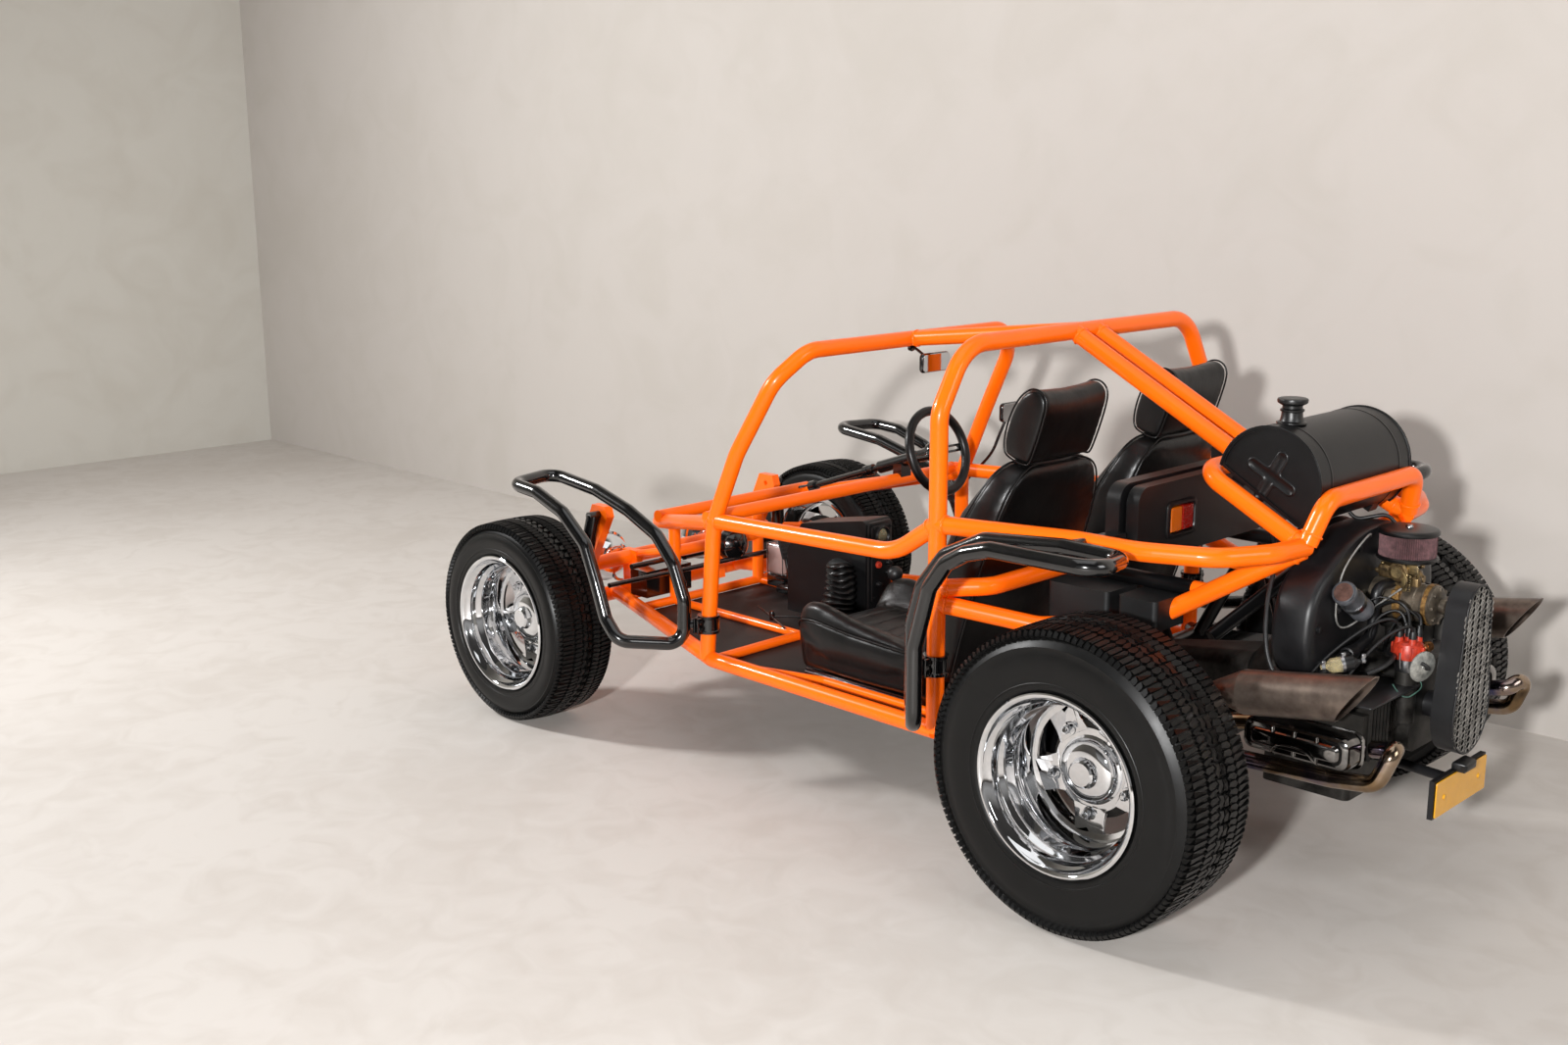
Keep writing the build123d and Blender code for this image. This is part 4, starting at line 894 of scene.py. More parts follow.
# half section of a back, from the middle of its front to the middle of its rear:
# share of the half width, how far rearward, share of the bolster in that depth
BACK_SECTION = ((0.0, 0.004, 0), (0.30, 0.004, 0), (0.52, 0.002, 0), (0.62, -0.004, 0.15), (0.72, -0.004, 0.72),
                (0.82, -0.002, 1.0), (0.92, 0.002, 1.0), (0.985, 0.010, 0.55), (1.0, 0.030, 0.1),
                (0.995, 0.058, 0), (0.955, 0.078, 0), (0.80, 0.086, 0), (0.5, 0.090, 0), (0.2, 0.091, 0),
                (0.0, 0.091, 0))
BOLSTER = -0.054
BACK_LEVELS = (
    # height, half width, thickness share, bolster share
    (0.000, 0.190, 0.70, 0.3), (0.012, 0.204, 0.90, 0.5), (0.040, 0.211, 1.0, 0.8), (0.110, 0.216, 1.0, 1.0),
    (0.200, 0.218, 1.0, 1.0), (0.300, 0.218, 1.0, 1.0), (0.380, 0.216, 1.0, 0.9), (0.440, 0.211, 1.0, 0.7),
    (0.490, 0.203, 0.99, 0.4), (0.530, 0.191, 0.96, 0.2), (0.560, 0.175, 0.92, 0.1), (0.580, 0.154, 0.84, 0.0),
    (0.591, 0.130, 0.72, 0.0), (0.5965, 0.100, 0.5, 0.0),
)
FRONT_WELT, REAR_WELT = 7, 10  # points of the section that the piping follows
BACK_FLUTES = 0.118  # half width of the fluted middle
STITCH_GAP = 3 * MM
SEAM_DEPTH, SEAM_WIDTH = 3.0 * MM, 4.5 * MM  # of the furrow along a sewn line
STUFFING_FRAMES = 20


def on_back(side, across, rear, up):
    """A point of a seat back, from its foot."""
    return at(0.620, side * SEAT_Y + across, 0.400) + BACK_REAR * rear + BACK_UP * up


def swell(piece, seams, cap, context):
    """Stuff a cover: swell it between its sewn lines by cloth simulation, then draw the sewn lines in."""
    sizes = context.scene.buggy_sizes
    modify(piece, "even_mesh", "REMESH", mode="VOXEL", voxel_size=sizes.voxel)
    sewn = kdtree.KDTree(len(seams))
    for index, point in enumerate(seams):
        sewn.insert(point, index)
    sewn.balance()
    mesh = piece.data
    pins = piece.vertex_groups.new(name="sewn")
    pins.add([v.index for v in mesh.vertices if sewn.find(v.co)[2] < sizes.voxel * 0.9], 1.0, "REPLACE")
    start = [v.co.copy() for v in mesh.vertices]
    cloth = piece.modifiers.new("stuffing", "CLOTH")
    cloth.settings.quality = 4
    cloth.settings.mass = 0.25
    cloth.settings.tension_stiffness = cloth.settings.compression_stiffness = 18
    cloth.settings.bending_stiffness = 0.6
    cloth.settings.use_pressure = True
    cloth.settings.uniform_pressure_force = 4
    cloth.settings.vertex_group_mass = pins.name
    cloth.settings.effector_weights.gravity = 0
    cloth.collision_settings.use_collision = False
    cloth.point_cache.frame_start, cloth.point_cache.frame_end = 1, STUFFING_FRAMES
    for step in range(1, STUFFING_FRAMES + 1):
        context.scene.frame_set(step)
    pick(piece)
    bpy.ops.object.modifier_apply(modifier=cloth.name)
    context.scene.frame_set(1)
    for vertex, old in zip(mesh.vertices, start):
        moved = vertex.co - old
        if moved.length > cap:
            vertex.co = old + moved * (cap / moved.length)
    modify(piece, "ease", "SMOOTH", factor=0.5, iterations=3)
    modify(piece, "finer", "SUBSURF", levels=1, render_levels=1)
    piece.vertex_groups.clear()
    drawn = [(v.normal.copy(), sewn.find(v.co)[2]) for v in mesh.vertices]
    for vertex, (normal, far) in zip(mesh.vertices, drawn):
        vertex.co -= normal * SEAM_DEPTH * math.exp(-(far / SEAM_WIDTH) ** 2)
    smooth(piece, 60)


def fit_pair(piece, finish, kind=None):
    """Fit a piece of the left seat and its copy on the right seat; kind names the nodes that it stands for."""
    pick(piece)
    bpy.ops.object.duplicate()
    twin = bpy.context.object
    twin.name = twin.data.name = piece.name.replace("left", "right")
    twin.data.transform(Matrix.Translation((0, -2 * SEAT_Y, 0)))
    for one, side in ((twin, "right"), (piece, "left")):
        wear(one, finish, ["%s_%s" % (kind, side)] if kind else ())


class BUGGY_OT_seat_backs(bpy.types.Operator):
    """Sew the two seat backs with bolsters, fluted middles and welts"""
    bl_idname = "buggy.seat_backs"
    bl_label = "Seat backs"

    def execute(self, context):
        rings = [self.ring(*level) for level in BACK_LEVELS]
        back = stack("leather_back_left", rings)
        count = len(rings[0])
        welts = []
        for first, second in ((FRONT_WELT, count - FRONT_WELT), (REAR_WELT, count - REAR_WELT)):
            up = [ring[first] for ring in rings[1:]]
            down = [ring[second] for ring in rings[:0:-1]]
            welts.append(up + [up[-1].lerp(down[0], t) for t in (0.25, 0.5, 0.75)] + down)
        seams = [p for line in welts for p in dense(line, STITCH_GAP)]
        for across in (BACK_FLUTES, -BACK_FLUTES):
            seams += dense([on_back(1, across, 0.002, 0.03), on_back(1, across, 0.002, 0.47)], STITCH_GAP)
        for level in range(6, 48, 6):
            seams += dense([on_back(1, a, 0.002, level / 100) for a in (-BACK_FLUTES, 0.0, BACK_FLUTES)], STITCH_GAP)
        swell(back, seams, 11 * MM, context)
        radius = context.scene.buggy_sizes.piping
        cords = []
        for number, line in enumerate(welts):
            middle = on_back(1, 0, 0.03, 0.30)
            out = [p + (p - middle).normalized() * 1.5 * MM for p in line]
            cords.append(tube("back_welt_%d" % number, out, radius, steps=3, sides=2))
        welt = smooth(join(cords, "back_welt_left"), 60)
        fit_pair(back, "leather", "seat_back")
        fit_pair(welt, "leather", "seat_back")
        return {"FINISHED"}

    def ring(self, height, half_width, thickness, bolster):
        """The back's outline at one height."""
        half = []
        for share, rear, lift in BACK_SECTION:
            depth = rear + BOLSTER * lift * bolster
            depth = 0.04 + (depth - 0.04) * thickness
            half.append((share * half_width, depth))
        section = half + [(-a, b) for a, b in half[-2:0:-1]]
        return [on_back(1, a, b, height) for a, b in section]


HEAD_SECTION = (
    # rearward, up: the side view of a headrest, from its front foot over the crown to its rear foot
    (-0.006, 0.004), (-0.018, 0.030), (-0.0225, 0.065), (-0.022, 0.100), (-0.016, 0.135), (-0.004, 0.164),
    (0.012, 0.183), (0.032, 0.191), (0.052, 0.188), (0.066, 0.176), (0.073, 0.155), (0.075, 0.110), (0.074, 0.060),
    (0.071, 0.016), (0.064, 0.004), (0.030, 0.001),
)


class BUGGY_OT_headrests(bpy.types.Operator):
    """Sew the two headrests with welted side panels"""
    bl_idname = "buggy.headrests"
    bl_label = "Headrests"

    def execute(self, context):
        # across, how much smaller the section is, how far the crown is drawn down
        slices = ((0.130, 0.016, 0.0), (0.127, 0.004, 0.0), (0.121, 0.0, 0.0), (0.100, 0.001, 0.002),
                  (0.060, 0.001, 0.005), (0.0, 0.001, 0.007))
        slices = slices + tuple((-a, s, d) for a, s, d in slices[-2::-1])
        middle = (0.028, 0.095)

        def ring(across, less, drop):
            """The headrest's outline in one slice."""
            points = []
            for rear, up in HEAD_SECTION:
                du, dv = rear - middle[0], up - middle[1]
                far = math.hypot(du, dv)
                k = (far - less) / far
                points.append(on_back(1, across, middle[0] + du * k,
                                      BACK_HEIGHT + middle[1] + dv * k - drop * max(0, dv / 0.095)))
            return points

        head = stack("leather_headrest_left", [ring(*one) for one in slices])
        lines = [ring(a, 0.0005, 0.0) for a in (0.1245, -0.1245)]
        seams = [p for line in lines for p in dense(line + line[:1], STITCH_GAP)]
        swell(head, seams, 8 * MM, context)
        centre = on_back(1, 0, middle[0], BACK_HEIGHT + middle[1])
        cords = [tube("head_welt", [p + (p - centre).normalized() * 1 * MM for p in line],
                      context.scene.buggy_sizes.piping, closed=True, steps=3, sides=2) for line in lines]
        welt = smooth(join(cords, "headrest_welt_left"), 60)
        posts = join([tube("post", [on_back(1, a, 0.032, BACK_HEIGHT - 0.03), on_back(1, a, 0.032, BACK_HEIGHT),
                                    on_back(1, a, 0.032, BACK_HEIGHT + 0.02)], 6 * MM, steps=2)
                      for a in (0.055, -0.055)], "headrest_posts_left")
        # fabric collar that is tucked between the headrest and the back
        collar_rings = [[on_back(1, 0.128 * math.cos(a) * k, 0.032 + 0.036 * math.sin(a) * k, BACK_HEIGHT + h)
                         for a in angles(40)]
                        for h, k in ((-0.014, 0.86), (-0.008, 0.95), (-0.002, 0.98), (0.003, 0.93), (0.006, 0.8))]
        collar = smooth(stack("headrest_collar_left", collar_rings), 60)
        fit_pair(head, "leather", "headrest")
        for piece in (welt, collar):
            fit_pair(piece, "leather", "headrest")
        fit_pair(posts, "chrome")
        return {"FINISHED"}


CUSHION_LEVELS = (
    # distance forward of the rear axle, half width, height share, how far the foot is lifted
    (0.640, 0.176, 0.72, 0.012), (0.646, 0.196, 0.88, 0.005), (0.660, 0.208, 0.97, 0.0), (0.720, 0.213, 1.0, 0.0),
    (0.800, 0.215, 1.0, 0.0), (0.880, 0.216, 1.0, 0.0), (0.950, 0.216, 1.03, 0.0), (1.010, 0.214, 1.05, 0.0),
    (1.050, 0.210, 1.02, 0.001), (1.075, 0.202, 0.93, 0.004), (1.084, 0.190, 0.80, 0.010), (1.088, 0.170, 0.6, 0.02),
)
# half section of a cushion: share of the half width, height above its foot, from the middle of the top to the
# middle of the bottom
CUSHION_SECTION = ((0.0, 0.120), (0.25, 0.119), (0.48, 0.117), (0.57, 0.121), (0.66, 0.142), (0.76, 0.166),
                   (0.86, 0.173), (0.94, 0.164), (0.99, 0.138), (1.0, 0.10), (1.0, 0.05), (0.985, 0.018),
                   (0.94, 0.004), (0.6, 0.0), (0.0, 0.0))
BOLSTER_FOOT = 0.121  # height at which the bolsters rise out of the seat
CUSHION_WELT = 8  # point of the section that the piping follows
CUSHION_FLUTES = 0.112  # half width of the fluted middle


class BUGGY_OT_seat_cushions(bpy.types.Operator):
    """Sew the two seat cushions with bolsters, flutes and welts"""
    bl_idname = "buggy.seat_cushions"
    bl_label = "Seat cushions"

    def execute(self, context):
        def ring(x, half_width, height, lift):
            """The cushion's outline in one slice."""
            # the bolsters stand highest at the front and fall towards the back
            rise = 0.45 + 0.85 * min(1.0, max(0.0, (x - 0.70) / 0.30))
            half = [(s, z if z < BOLSTER_FOOT else BOLSTER_FOOT + (z - BOLSTER_FOOT) * rise)
                    for s, z in CUSHION_SECTION]
            half = [(s * half_width, lift + (z * height - lift if z > lift else 0)) for s, z in half]
            section = half + [(-a, z) for a, z in half[-2:0:-1]]
            return [at(x, SEAT_Y + a, 0.313 + z) for a, z in section]

        rings = [ring(*level) for level in CUSHION_LEVELS]
        cushion = stack("leather_cushion_left", rings)
        count = len(rings[0])
        ahead = [r[CUSHION_WELT] for r in rings]
        back = [r[count - CUSHION_WELT] for r in rings[::-1]]
        line = ahead + [ahead[-1].lerp(back[0], t) for t in (0.2, 0.4, 0.6, 0.8)] + back
        seams = dense(line, STITCH_GAP)
        for side in (1, -1):
            y = SEAT_Y + side * CUSHION_FLUTES
            seams += dense([at(0.66, y, 0.431), at(0.90, y, 0.431), at(1.04, y, 0.437)], STITCH_GAP)
        for x in (0.70, 0.76, 0.82, 0.88, 0.94, 1.00):
            z = 0.432 + max(0, x - 0.9) * 0.05
            seams += dense([at(x, SEAT_Y + a, z) for a in (-CUSHION_FLUTES, 0.0, CUSHION_FLUTES)], STITCH_GAP)
        swell(cushion, seams, 10 * MM, context)
        welt = tube("cushion_welt_left", [p + Vector((0, (p.y - SEAT_Y) * 0.008, 0.001)) for p in line],
                    context.scene.buggy_sizes.piping, steps=3, sides=2)
        smooth(welt, 60)
        fit_pair(cushion, "leather", "seat_cushion")
        fit_pair(welt, "leather", "seat_cushion")
        return {"FINISHED"}


# Tank and lamps

TANK_X, TANK_Z, TANK_HALF = -0.158, 0.962, 0.220
CROSS_ARMS = ((62, 0.052), (-28, 0.052))  # tilt in degrees, half length: the stamped cross on each tank end
CROSS_HALF_WIDTH = 0.0105
CROSS_FILLET = 0.010  # how softly the cross's arms run into each other


class BUGGY_OT_tank_trim(bpy.types.Operator):
    """Stamp the crosses into the tank's ends, roll its rims, and fit the filler cap and the fuel line"""
    bl_idname = "buggy.tank_trim"
    bl_label = "Tank trim"

    def execute(self, context):
        pieces = []
        for side in (1, -1):
            pieces.append(self.cross(side))
            rim = turned("rim", [(TANK_HALF - 4 * MM, 0.1235), (TANK_HALF - 3 * MM, 0.1275), (TANK_HALF, 0.1285),
                                 (TANK_HALF + 2.5 * MM, 0.1265), (TANK_HALF + 2.5 * MM, 0.1225),
                                 (TANK_HALF - 4 * MM, 0.1205)], at(TANK_X, 0, TANK_Z), (0, side, 0), 96)
            self.trim_below_chord(rim)
            pieces.append(rim)
        # pressed seams round the barrel
        for y in (0.165, -0.165):
            band = turned("band", [(y - 5 * MM, 0.1245), (y - 2.5 * MM, 0.1262), (y + 2.5 * MM, 0.1262),
                                   (y + 5 * MM, 0.1245), (y + 5 * MM, 0.122), (y - 5 * MM, 0.122)],
                          at(TANK_X, 0, TANK_Z), (0, 1, 0), 96)
            self.trim_below_chord(band)
            pieces.append(band)
        trim = join(pieces, "tank_pressings")
        wear(smooth(trim, 40), "tank_paint")
        cap = turned("filler_cap_turned", [(1.086, 0.0), (1.086, 0.034), (1.089, 0.034), (1.092, 0.027),
                                           (1.100, 0.0245), (1.112, 0.0235), (1.114, 0.0265), (1.118, 0.027),
                                           (1.121, 0.0225), (1.127, 0.0225), (1.131, 0.030), (1.1335, 0.0335),
                                           (1.139, 0.0345), (1.1425, 0.0335), (1.144, 0.030), (1.1432, 0.012),
                                           (1.1432, 0.0)], at(TANK_X, 0.131, 0), AXIS_Z, 48)
        wear(smooth(cap, 40), "moulded_plastic", ["filler_cap"])
        line = tube("tank_fuel_line", [at(-0.238, -0.02, 0.868), at(-0.252, -0.02, 0.852), at(-0.285, -0.03, 0.862),
                                       at(-0.320, -0.05, 0.872), at(-0.345, -0.062, 0.83), at(-0.350, -0.062, 0.78)],
                    4.5 * MM)
        wear(smooth(line, 60), "rubber_hose")
        return {"FINISHED"}

    def cross(self, side):
        """A raised lip round a cross with rounded ends, standing on the tank's end plate."""
        def far(point, arm):
            """Distance of a point from one arm's edge."""
            tilt, length = math.radians(arm[0]), arm[1]
            along = Vector((math.cos(tilt), math.sin(tilt)))
            return (point - along * max(-length, min(length, point.dot(along)))).length - CROSS_HALF_WIDTH

        def edge(angle, offset):
            """Where a ray from the middle leaves the cross, by halving."""
            ray = Vector((math.cos(angle), math.sin(angle)))
            low, high = 0.0, 0.12
            for _ in range(24):
                middle = (low + high) / 2
                a, b = (far(ray * middle, arm) for arm in CROSS_ARMS)
                h = max(0.0, min(1.0, 0.5 + (b - a) / (2 * CROSS_FILLET)))
                distance = b * (1 - h) + a * h - CROSS_FILLET * h * (1 - h)
                low, high = (middle, high) if distance < offset else (low, middle)
            return ray * high

        rings = []
        plate = TANK_HALF - 5.2 * MM
        for offset, height in ((0.0055, 0.0), (0.0042, 0.0022), (0.0020, 0.0030), (-0.0002, 0.0026),
                               (-0.0020, 0.0012), (-0.0030, 0.0004)):
            ring = []
            for angle in angles(160):
                p = edge(angle, offset)
                ring.append(at(TANK_X - 0.003 - p.x, side * (plate + height), TANK_Z + 0.012 + p.y))
            rings.append(ring)
        return stack("cross", rings)

    def trim_below_chord(self, piece):
        """Cut away what would lie below the tank's flat underside."""
        pick(piece)
        bpy.ops.object.mode_set(mode="EDIT")
        bpy.ops.mesh.select_all(action="SELECT")
        foot, normal = at(-0.1365, 0, 0.9262), Vector((0.5116, 0, -0.8592))
        bpy.ops.mesh.bisect(plane_co=foot, plane_no=normal, clear_outer=True, use_fill=True, threshold=0.0001)
        bpy.ops.object.mode_set(mode="OBJECT")


LAMP_Y, LAMP_Z = 0.256, 0.856
LAMP_SQUARENESS = 8  # power of the rounded rectangle that a lamp's frame follows


class BUGGY_OT_rear_lamps(bpy.types.Operator):
    """Fit the amber and red lenses in their frames"""
    bl_idname = "buggy.rear_lamps"
    bl_label = "Rear lamps"

    def execute(self, context):
        for side, name in ((1, "left"), (-1, "right")):
            for share, finish in ((1, "amber_lens"), (-1, "red_lens")):
                y = side * (LAMP_Y + share * 0.0245)
                lens = block("lamp_lens_%s_%s" % (finish.split("_")[0], name), at(0.0445, y, LAMP_Z),
                             AXIS_Y, AXIS_Z, -AXIS_X, (0.0235, 0.0295, 0.0085), 3.5 * MM)
                wear(smooth(lens, 30), finish, ["rear_lamps"])
            frame_rings = []
            for grow, x in ((0.012, 0.0405), (0.0115, 0.0365), (0.008, 0.0345), (0.003, 0.0350), (0.001, 0.038),
                            (0.001, 0.0405)):
                ring = []
                for angle in angles(48):
                    c, s = math.cos(angle), math.sin(angle)
                    a = (abs(c) ** LAMP_SQUARENESS + abs(s) ** LAMP_SQUARENESS) ** (-1 / LAMP_SQUARENESS)
                    ring.append(at(x, side * LAMP_Y + a * c * (0.0505 + grow), LAMP_Z + a * s * (0.0320 + grow)))
                frame_rings.append(ring)
            surround = stack("lamp_frame_" + name, frame_rings)
            pick(surround)
            # the middle of the frame is open
            bpy.ops.object.mode_set(mode="EDIT")
            bpy.ops.mesh.select_all(action="DESELECT")
            bpy.ops.object.mode_set(mode="OBJECT")
            for face in surround.data.polygons:
                face.select = len(face.vertices) > 4
            bpy.ops.object.mode_set(mode="EDIT")
            bpy.ops.mesh.delete(type="FACE")
            close_mesh()
            wear(smooth(surround, 40), "moulded_plastic")
        return {"FINISHED"}


class BUGGY_OT_number_plate(bpy.types.Operator):
    """Fit the blank plate, its two screws and the hooded lamp"""
    bl_idname = "buggy.number_plate"
    bl_label = "Number plate"

    def execute(self, context):
        centre = at(-0.5690, 0.030, 0.296)
        sheet = block("blank_plate", centre, AXIS_Y, AXIS_Z, -AXIS_X, (0.131, 0.0415, 0.0018), 5 * MM)
        wear(smooth(sheet, 30), "plate_yellow", ["number_plate"])
        screws = []
        for y in (-0.090, 0.090):
            screws.append(turned("screw", [(0, 0), (0, 0.0062), (0.0012, 0.0060), (0.0024, 0.0044), (0.0028, 0.0)],
                                 centre + Vector((-1.8 * MM, y, 0)), (-1, 0, 0), 20))
        screw = join(screws, "plate_screws")
        wear(smooth(screw), "plate_yellow")
        hood = block("plate_lamp_hood", at(-0.574, 0.030, 0.349), AXIS_Y, AXIS_Z, -AXIS_X,
                     (0.034, 0.011, 0.016), 5 * MM, taper=0.8)
        wear(smooth(hood, 35), "moulded_plastic")
        return {"FINISHED"}


# Engine

PLEATS = 78
PLEAT = (0.0625, 0.0605, 0.0575, 0.0605)  # radii of the gauze round one pleat


class BUGGY_OT_air_filter(bpy.types.Operator):
    """Pleat the round air filter and fit its lids and wing nut"""
    bl_idname = "buggy.air_filter"
    bl_label = "Air filter"

    def execute(self, context):
        centre = at(-0.392, 0, 0)
        round_pleats = list(zip(angles(PLEATS * len(PLEAT)), PLEAT * PLEATS))
        gauze = stack("pleated_gauze", [[centre + Vector((radius * math.cos(angle), radius * math.sin(angle), z))
                                         for angle, radius in round_pleats] for z in (0.793, 0.846)])
        wear(smooth(gauze, 25), "filter_gauze", ["air_filter"])
        lids = [turned("lid", profile, centre, AXIS_Z, 72) for profile in (
            [(0.782, 0), (0.782, 0.030), (0.785, 0.062), (0.788, 0.0665), (0.793, 0.0675), (0.7955, 0.065),
             (0.7955, 0)],
            [(0.845, 0), (0.845, 0.065), (0.848, 0.0672), (0.853, 0.0672), (0.8565, 0.064), (0.858, 0.058),
             (0.8585, 0.030), (0.860, 0.0)])]
        lid = join(lids, "filter_lids")
        wear(smooth(lid, 40), "moulded_plastic", ["air_filter"])
        nut = turned("filter_nut", [(0.858, 0), (0.858, 0.009), (0.862, 0.0085), (0.866, 0.006), (0.866, 0)], centre,
                     AXIS_Z, 16)
        wear(smooth(nut), "bright_alloy", ["air_filter"])
        return {"FINISHED"}


GUARD_X = -0.565
GUARD_CIRCLES = ((0.460, 0.095), (0.690, 0.065))  # height and radius of the guard's two ends
PULLEYS = ((0.460, 0.080), (0.690, 0.050))  # height and radius
STRAND = 2.8 * MM  # thickness of the mesh's strands


class BUGGY_OT_belt_guard(bpy.types.Operator):
    """Weave the guard's honeycomb mesh, hem its edge, and run the belt round its pulleys"""
    bl_idname = "buggy.belt_guard"
    bl_label = "Belt guard"

    def execute(self, context):
        wear(self.honeycomb(context.scene.buggy_sizes.mesh_cell), "expanded_metal")
        hem_line = self.outline(-1.5 * MM, 56)
        hem = tube("guard_hem", [at(GUARD_X + 0.5 * MM, y, z) for y, z in hem_line], 2.6 * MM, closed=True, steps=2)
        wear(smooth(hem, 60), "satin_enamel")
        # a thin matt black sheet behind the mesh, painted shade for the guard's dark inside
        backing = stack("guard_painted_shade_sheet", [[at(x, y, z) for y, z in self.outline(-4 * MM, 56)]
                                        for x in (-0.5505, -0.5495)])
        wear(backing, "matt_black")
        wear(self.belt(), "rubber_hose")
        return {"FINISHED"}

    def arcs(self, circles, grow, steps):
        """Cosine, sine, radius and height along two arcs that are joined by their tangents."""
        (z0, r0), (z1, r1) = circles
        r0, r1 = r0 + grow, r1 + grow
        lean = math.asin((r0 - r1) / (z1 - z0))
        return [(math.cos(a), math.sin(a), r, z)
                for z, r, start, end in ((z1, r1, lean, math.pi - lean), (z0, r0, math.pi - lean, 2 * math.pi + lean))
                for a in (start + (end - start) * n / steps for n in range(steps + 1))]

    def outline(self, grow, count):
        """The guard's outline in y and z."""
        return [(r * c, z + r * s) for c, s, r, z in self.arcs(GUARD_CIRCLES, grow, count // 2)]

    def inside(self, y, z, grow):
        """Whether a point lies inside the outline grown by a distance."""
        points = self.outline(grow, 64)
        return all((b[0] - a[0]) * (z - a[1]) - (b[1] - a[1]) * (y - a[0]) >= -1e-9
                   for a, b in zip(points, points[1:] + points[:1]) if a != b)

    def honeycomb(self, cell):
        """One opening of expanded metal, arrayed, cut to the outline and drawn out as strands."""
        long_way = cell * 1.08
        piece = empty_mesh("guard_mesh")
        for column in range(2):
            bpy.ops.mesh.select_all(action="DESELECT")
            bpy.ops.mesh.primitive_circle_add(vertices=6, fill_type="NGON")
            mesh = piece.data
            bpy.ops.object.mode_set(mode="OBJECT")
            middle = at(GUARD_X, -0.109 + column * long_way, 0.362 + column * cell / 2)
            for n, vertex in enumerate(mesh.vertices[-6:]):
                corner = n * math.pi / 3
                vertex.co = middle + Vector((0, math.cos(corner) * long_way / 1.5,
                                             math.sin(corner) * cell / math.sqrt(3)))
            bpy.ops.object.mode_set(mode="EDIT")
        bpy.ops.object.mode_set(mode="OBJECT")
        for title, offset, count in (("across", (0, 2 * long_way, 0), int(0.11 / long_way) + 2),
                                     ("up", (0, 0, cell), int(0.40 / cell) + 1)):
            modify(piece, title, "ARRAY", count=count, use_relative_offset=False, use_constant_offset=True,
                   constant_offset_displace=offset)
        bpy.ops.object.mode_set(mode="EDIT")
        bpy.ops.mesh.select_all(action="SELECT")
        bpy.ops.mesh.remove_doubles(threshold=0.05 * MM)
        bpy.ops.mesh.select_all(action="DESELECT")
        bpy.ops.object.mode_set(mode="OBJECT")
        for face in piece.data.polygons:
            middle = face.center
            face.select = not self.inside(middle.y, middle.z, -1.5 * MM)
        bpy.ops.object.mode_set(mode="EDIT")
        bpy.ops.mesh.delete(type="FACE")
        bpy.ops.object.mode_set(mode="OBJECT")
        modify(piece, "strands", "WIREFRAME", thickness=STRAND, use_even_offset=False)
        return piece

    def belt(self):
        """A V-belt round both pulleys."""
        profile = ((-0.5345, 0.004), (-0.5255, 0.004), (-0.5275, -0.005), (-0.5325, -0.005))
        rings = [[at(x, c * (r + d), z + s * (r + d)) for x, d in profile]
                 for c, s, r, z in self.arcs(PULLEYS, 0, 24)]
        rings.append(rings[0])
        return smooth(stack("fan_belt", rings), 35)


